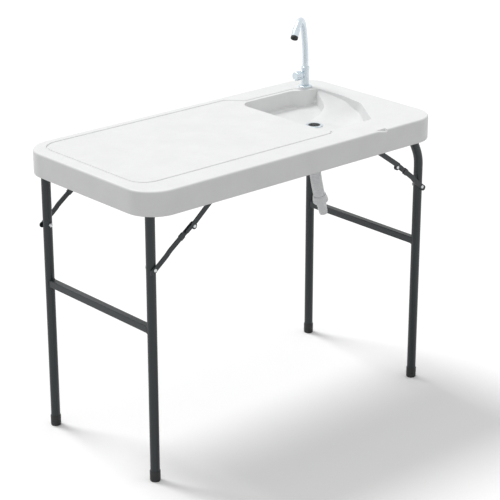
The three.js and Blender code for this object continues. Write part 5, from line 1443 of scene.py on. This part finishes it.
# ---- Faucet ----
@dataclass
class Faucet:
    """The plated faucet: base, lever knob, collar and a gooseneck spout that swivels."""

    heading_deg: float = 210.0
    tip_down_deg: float = 45.0
    tube_r: float = 9.8
    stem_up: float = 41.0
    route: tuple = ((0, 57), (0, 90), (4, 125), (12, 155), (22, 190), (37, 217.5), (58, 231),
                    (81, 228), (103, 214))

    def build(self) -> None:
        """Builds the faucet's pieces."""
        self.base()
        self.knob()
        self.collar()
        self.spout()
        self.nut()

    def on_axis(self, form: Form, name: str, body: str, node: str,
                finish: Finish = Finish.FAUCET) -> None:
        """Ends a mesh drawn about the faucet's own axis, with its heights over the worktop."""
        form.at(Matrix.Translation((FAUCET.x, FAUCET.y, TOP_Z))).piece(name, body, finish, node)

    def base(self) -> None:
        """Builds the flange and the body with its shank."""
        flange = turned([(10.3, 0.3), (21.4, 0.3), (22, 0.9), (22, 2.4), (21.2, 3.5), (19.6, 4.5),
                         (17.4, 5.1), (16, 5.3), (10.3, 5.3), (10.3, 0.3)], 48)
        self.on_axis(flange, "base_flange", "table", "faucet_flange")
        profile = [(0, -61), (8.6, -61), (9.4, -60.4), (10, -59.4), (10, 5.6), (11.9, 5.6),
                   (12.3, 6.2), (12.3, 20.5), (11.9, 21), (11.9, 21.8), (12.3, 22.4), (12.3, 50.6),
                   (11.9, 51.2), (11.9, 52.2), (12.3, 52.8), (12.3, 55.3), (11.8, 56), (0, 56)]
        stem = turned([(0, 10), (8.4, 10), (8.4, 14.5), (6.9, 15.5), (6, 15.5), (6, 38),
                       (0, 38)], 32)
        stem.at(towards((0, 0, self.stem_up), (-1, 0, 0)))
        self.on_axis(turned(profile, 48).join(stem), "faucet_column", "table", "faucet_body")

    def knob(self) -> None:
        """Builds the fluted round knob at the end of the stem."""
        lobed = ((13.6, 0.2, 21.5), (14.6, 0.8, 23.0), (15.0, 1.3, 25.5), (15.0, 1.3, 40.0),
                 (14.7, 1.1, 42.6), (13.8, 0.6, 44.6))
        front = ((12.4, 45.7), (11.2, 46.0), (10.6, 45.8), (10.2, 45.2), (2.0, 45.0))
        form = Form()
        form.loft([circle(6.3, 96, 21.0), circle(12.2, 96, 21.0),
                   *(fluted(r, 12, dip, z) for r, dip, z in lobed),
                   *(circle(r, 96, z) for r, z in front)])
        form.at(towards((0, 0, self.stem_up), (-1, 0, 0)))
        self.on_axis(form, "lever_knob", "handle", "faucet_handle")

    def collar(self) -> None:
        """Builds the knurled collar that holds the spout."""
        low, high = (((10.1, 56.3), (12.4, 56.3), (13.0, 56.8)),
                     ((13.1, 65.2), (12.6, 66.2), (11.6, 67.0), (10.1, 67.0)))
        form = Form()
        form.loft([*(circle(r, 144, z) for r, z in low),
                   *(fluted(13.2, 24, 0.55, z, 6) for z in (57.4, 64.6)),
                   *(circle(r, 144, z) for r, z in high)], tube=True)
        self.on_axis(form, "knurled_collar", "table", "faucet_collar")

    def spout(self) -> None:
        """Builds the gooseneck, the head at its tip and the black outlet with its screen."""
        heading, down = math.radians(self.heading_deg), math.radians(self.tip_down_deg)
        ahead = Vector((math.cos(heading), math.sin(heading), 0))
        spots = [Vector((FAUCET.x, FAUCET.y, TOP_Z + up)) + ahead * reach
                 for reach, up in self.route]
        out = ahead * math.cos(down) - Z_AXIS * math.sin(down)
        tip = spots[-1]
        line = [*smooth_line(spots, 8), tip + out * 4.0, tip + out * 8.0]
        tube = swept(line, circle(self.tube_r, 40))
        tube.piece("gooseneck", "spout", Finish.FAUCET, "faucet_spout")
        place = towards(tip, out)
        head = turned([(10.1, 0.3), (11.2, 0.3), (11.8, 0.9), (12, 1.8), (12, 6.5), (11.6, 7),
                       (11.6, 8), (12, 8.5), (12, 28.6), (11.7, 29.5), (11, 30), (8.6, 30),
                       (8.6, 8.6), (10.1, 8.3), (10.1, 0.3)], 48)
        head.at(place).piece("spray_head", "spout", Finish.FAUCET, "faucet_head")
        outlet = turned([(8.5, 30.3), (11.9, 30.3), (11.9, 35.4), (11.4, 36.5), (10.4, 37),
                         (9.2, 37), (8.6, 36.4), (8.5, 30.3)], 48)
        screen = turned([(0, 34.2), (8.48, 34.2), (8.48, 35.0), (0, 35.4)], 32)
        for ring in (3.0, 5.8):
            low, high = ring - 0.4, ring + 0.4
            screen.join(turned([(low, 35.2), (high, 35.2), (high, 35.9), (low, 35.9),
                                (low, 35.2)], 32))
        outlet.join(screen).at(place).piece("black_outlet", "spout", Finish.CAP, "faucet_outlet")

    def nut(self) -> None:
        """Builds the nut that draws the faucet down, under the deck."""
        top = SEAT_Z - TOP_Z
        nut = plate(hexagon(29.4), top - 9.0, top, 0.7, [circle(10.3, 40)])
        self.on_axis(nut, "shank_nut", "table", "faucet_nut", Finish.ZINC)


# ---- Drain and hose ----
@dataclass
class Drain:
    """The drain in the basin's floor, clamped from below by a gasket and a lugged nut."""

    neck_r: float = 14.5
    neck_length: float = 62.0
    slots: int = 8

    def build(self) -> None:
        """Builds the drain's pieces, with heights over the basin's floor."""
        neck, low, seat = self.neck_r, -self.neck_length, BULGE_Z - SEAT_GAP
        flange = turned([(12.5, low), (neck - 0.4, low), (neck, low + 0.5), (neck, 0), (27.4, 0),
                         (28, 0.5), (27.6, 1.2), (26.2, 2.1), (24.6, 2.6), (22.8, 2.7),
                         (20.2, 2.7), (19.2, 2.4), (19, 1.8), (19, 1.0), (12.5, 1.0),
                         (12.5, low)], 56)
        flange.at(Matrix.Translation(DRAIN))
        flange.piece("drain_ring", "table", Finish.FAUCET, "drain_flange")
        self.strainer()
        gasket = turned([(14.8, 0), (23.4, 0), (24, -0.6), (24, -2.1), (23.4, -2.7), (14.8, -2.7),
                         (14.8, 0)], 56).at(Matrix.Translation((DRAIN.x, DRAIN.y, seat)))
        gasket.piece("soft_gasket", "table", Finish.RUBBER, "drain_gasket")
        nut = plate(fluted(25.0, 8, 2.6, 0, 12), seat - 11.4, seat - 3.0, 0.6, [circle(14.8, 48)])
        nut.at(Matrix.Translation((DRAIN.x, DRAIN.y, 0)))
        nut.piece("lugged_nut", "table", Finish.CAP, "drain_nut")

    def strainer(self) -> None:
        """Builds the slotted disc with a domed boss in its middle."""
        slot = strip([Vector((7.6, 0, 0)), Vector((14.4, 0, 0))], 1.5, 6)
        turns = [Matrix.Rotation(2 * math.pi * i / self.slots, 3, "Z") for i in range(self.slots)]
        grid = plate(circle(18.7, 56), 1.3, 2.7, 0.0, [[turn @ p for p in slot] for turn in turns])
        grid.join(turned([(0, 2.7), (4.4, 2.7), (4.3, 3.2), (3.4, 3.7), (1.8, 3.95), (0, 4.0)], 28))
        grid.at(Matrix.Translation(DRAIN))
        grid.piece("slotted_strainer", "table", Finish.CAP, "drain_strainer")


@dataclass
class Hose:
    """The ribbed drain hose that hangs from the drain, with its clamp, coupler and nozzle."""

    top_z: float = 796.0
    outer: float = 18.5
    valley: float = 17.3
    bore: float = 16.1
    ribs: int = 38
    sides: int = 36
    length: float = 227.5
    clamp_down: float = 20.0
    route: tuple = ((0, 0), (0, 18.5), (0, 37), (0.2, 51), (0.8, 66), (2, 82), (3.7, 98),
                    (5.9, 114), (8.6, 130), (11.8, 146), (15.5, 162), (19.3, 176), (22.6, 188.3),
                    (28, 206), (33.4, 223.7))

    def __post_init__(self) -> None:
        """Works out the centre line and the distances along it."""
        self.points = [Vector((DRAIN.x + dx, DRAIN.y, self.top_z - drop))
                       for dx, drop in self.route]
        self.line = np.array([p[:] for p in smooth_line(self.points, 12)])
        steps = np.linalg.norm(np.diff(self.line, axis=0), axis=1)
        self.along = np.concatenate([[0.0], np.cumsum(steps)])
        self.total = float(self.along[-1])

    def build(self) -> None:
        points, hose = self.points, self.tube()
        pieces = [self.clamp(), self.coupler(), self.nozzle()]

    def at(self, distance: float) -> tuple[Vector, Vector]:
        """Follows the centre line.

        Args:
            distance: How far along it, from its top.

        Returns:
            The point there and the direction.
        """
        def spot(d: float) -> Vector:
            """Returns the point at a distance."""
            return Vector([float(np.interp(d, self.along, self.line[:, k])) for k in range(3)])
        before, after = max(distance - 1.5, 0.0), min(distance + 1.5, self.total)
        return spot(min(distance, self.total)), (spot(after) - spot(before)).normalized()

    def section(self, distance: float, radius: float) -> list[Vector]:
        """Draws a round section of the hose.

        Args:
            distance: How far along the centre line it is.
            radius: Its radius.

        Returns:
            The section's points.
        """
        centre, ahead = self.at(distance)
        other = Y_AXIS.cross(ahead).normalized()
        return [centre + Y_AXIS * p.x + other * p.y for p in circle(radius, self.sides)]

    def tube(self) -> bpy.types.Object:
        """Builds the corrugated tube with its smooth bore.

        Returns:
            The piece.
        """
        pitch = self.total / self.ribs
        wave = ((0.0, 0.0), (0.12, 0.08), (0.24, 0.75), (0.34, 1.0), (0.66, 1.0), (0.76, 0.75),
                (0.88, 0.08))
        rings = [self.section((rib + at) * pitch, self.valley + (self.outer - self.valley) * share)
                 for rib in range(self.ribs) for at, share in wave]
        rings.append(self.section(self.total, self.valley))
        rings += [self.section(self.total * i / 12, self.bore) for i in range(12, -1, -1)]
        form = Form()
        form.loft(rings, tube=True)
        return form.piece("ribbed_hose", "table", Finish.HOSE, "drain_hose", sharp_deg=75.0)

    def clamp(self) -> bpy.types.Object:
        """Builds the band clamp with its two ears and screw.

        Returns:
            The piece.
        """
        band = turned([(18.8, 0), (20.0, 0), (20.3, 0.4), (20.3, 9.6), (20.0, 10), (18.8, 10),
                       (18.8, 0)], 56)
        on_edge = Matrix(((0, 0, 1, 0), (1, 0, 0, 0), (0, 1, 0, 0), (0, 0, 0, 1)))
        for x in (-4.2, 2.6):
            ear = plate(rounded_box(-28.4, -19.6, 0.6, 9.4, 1.6, 0, 4), x, x + 1.6, 0.3)
            band.join(ear.at(on_edge))
        screw = turned([(0, -5), (2.6, -5), (2.6, -4.2), (1.6, -4.2), (1.6, 4.9), (0, 4.9)], 20)
        band.join(screw.at(towards((0, -24.8, 5.0), (1, 0, 0))))
        band.at(Matrix.Translation((DRAIN.x, DRAIN.y, self.top_z - self.clamp_down)))
        return band.piece("band_clamp", "table", Finish.ZINC, "hose_clamp")

    def coupler(self) -> bpy.types.Object:
        """Builds the fluted coupler at the hose's lower end.

        Returns:
            The piece.
        """
        back = ((18.8, -24.0), (20.9, -24.0), (21.5, -23.4))
        lobed = ((21.7, 0.0, -21.0), (22.8, 0.7, -17.0), (24.1, 1.1, -11.0), (24.5, 1.2, -7.0),
                 (24.5, 1.2, -2.4))
        front = ((24.3, -1.0), (23.4, 0.2), (20.0, 1.8), (15.5, 3.0), (11.0, 3.0), (11.0, 0.3),
                 (18.8, 0.3))
        form = Form()
        form.loft([*(circle(r, 120, z) for r, z in back),
                   *(fluted(r, 20, dip, z, 6) for r, dip, z in lobed),
                   *(circle(r, 120, z) for r, z in front)], tube=True)
        form.at(towards(*self.at(self.total)))
        return form.piece("fluted_coupler", "table", Finish.HOSE, "hose_coupler")

    def nozzle(self) -> bpy.types.Object:
        """Builds the barbed nozzle in the coupler.

        Returns:
            The piece.
        """
        profile = [(11, 3.3), (15.5, 3.3), (15.5, 14.6), (15.0, 15.2)]
        for i in range(3):
            z, root = 16.0 + 9.0 * i, 13.9 - 0.25 * i
            profile += [(15.3 - 0.4 * i, z), (root, z + 7.6), (root, z + 8.4)]
        profile += [(13.4, 43.6), (12.9, 44.9), (12.3, 45.3), (11, 45.3), (11, 3.3)]
        form = turned(profile, 48).at(towards(*self.at(self.total)))
        return form.piece("barbed_nozzle", "table", Finish.HOSE, "hose_nozzle")


# ---- Camera, floor and light ----
@dataclass
class Studio:
    """The photograph's viewpoint over a plain pale floor in soft light."""

    eye: tuple = (-3.381382, -3.844393, 2.461157)
    ahead: tuple = (0.622550, 0.696635, -0.356628)
    focal_px: float = 1790.6
    sensor_mm: float = 36.0
    sun_way: tuple = (0.168, -0.983, -1.6)
    sun: float = 1.62
    sun_spread_deg: float = 20.0
    sky: float = 0.66
    floor_half_m: float = 40.0
    floor_tone: float = 0.42

    def camera(self) -> None:
        """Makes the camera."""
        ahead = Vector(self.ahead).normalized()
        right = ahead.cross(Z_AXIS).normalized()
        turn = Matrix((right, right.cross(ahead), -ahead)).transposed().to_4x4()
        data = bpy.data.cameras.new("viewpoint")
        data.sensor_fit, data.sensor_width = "HORIZONTAL", self.sensor_mm
        data.lens = self.sensor_mm * self.focal_px / PHOTO_PIXELS
        data.clip_end = 200.0
        camera = add_object("viewpoint", data)
        camera.matrix_world = Matrix.Translation(Vector(self.eye)) @ turn
        bpy.context.scene.camera = camera

    def pale_share(self, graph: Graph) -> Socket:
        """Tells the rays that see the background from those that light the table.

        Args:
            graph: The node tree of the floor or the world.

        Returns:
            1 for rays that see it straight, in gloss or through glass, and otherwise 0.
        """
        rays = [graph.node("ShaderNodeLightPath", output=kind)
                for kind in ("Is Camera Ray", "Is Glossy Ray", "Is Transmission Ray")]
        return graph.node("ShaderNodeMath", {"operation": "ADD", "use_clamp": True},
                          {0: rays[0] + rays[1], 1: rays[2]})

    def floor(self) -> None:
        """Makes the floor, which shows white where the light falls on it."""
        form = bmesh.new()
        bmesh.ops.create_grid(form, x_segments=1, y_segments=1, size=self.floor_half_m)
        mesh = bpy.data.meshes.new("floor")
        form.to_mesh(mesh)
        form.free()
        floor = add_object("floor", mesh)
        graph = Graph(bpy.data.materials.new("pale_floor"))
        grey = (self.floor_tone, self.floor_tone, self.floor_tone, 1.0)
        tone = graph.node("ShaderNodeMix", {"data_type": "RGBA"},
                          {0: self.pale_share(graph), 6: grey, 7: (1.0, 1.0, 1.0, 1.0)}, 2)
        graph.show(graph.node("ShaderNodeBsdfDiffuse", inputs={"Color": tone}, output="BSDF"))
        mesh.materials.append(graph.owner)

    def light(self) -> None:
        """Makes the sun from behind and an even sky, which shows white to the camera."""
        data = bpy.data.lights.new("sun", "SUN")
        data.energy, data.angle = self.sun, math.radians(self.sun_spread_deg)
        sun = add_object("sun", data)
        sun.rotation_euler = Vector(self.sun_way).to_track_quat("-Z", "Y").to_euler()
        bpy.context.scene.world = bpy.data.worlds.new("sky")
        graph = Graph(bpy.context.scene.world)
        strength = self.sky + (1.0 - self.sky) * self.pale_share(graph)
        sky = graph.node("ShaderNodeBackground",
                         inputs={"Color": (1.0, 1.0, 1.0, 1.0), "Strength": strength})
        graph.show(sky, "ShaderNodeOutputWorld")


def main() -> None:
    """Builds the whole scene in order."""
    logging.basicConfig(level=logging.INFO, format="%(message)s")
    bpy.context.scene.view_settings.view_transform = "Standard"
    studio = Studio()
    studio.camera()
    Hose().build()
    Worktop().build()
    for end in End:
        LegFrame(end).build()
        for side in Side:
            Brace(end, side).build()
    for side in Side:
        Rail(side).build()
        Hinge(side).build()
    Drain().build()
    Faucet().build()
    studio.floor()
    studio.light()
    bpy.context.view_layer.update()


if __name__ == "__main__":
    main()
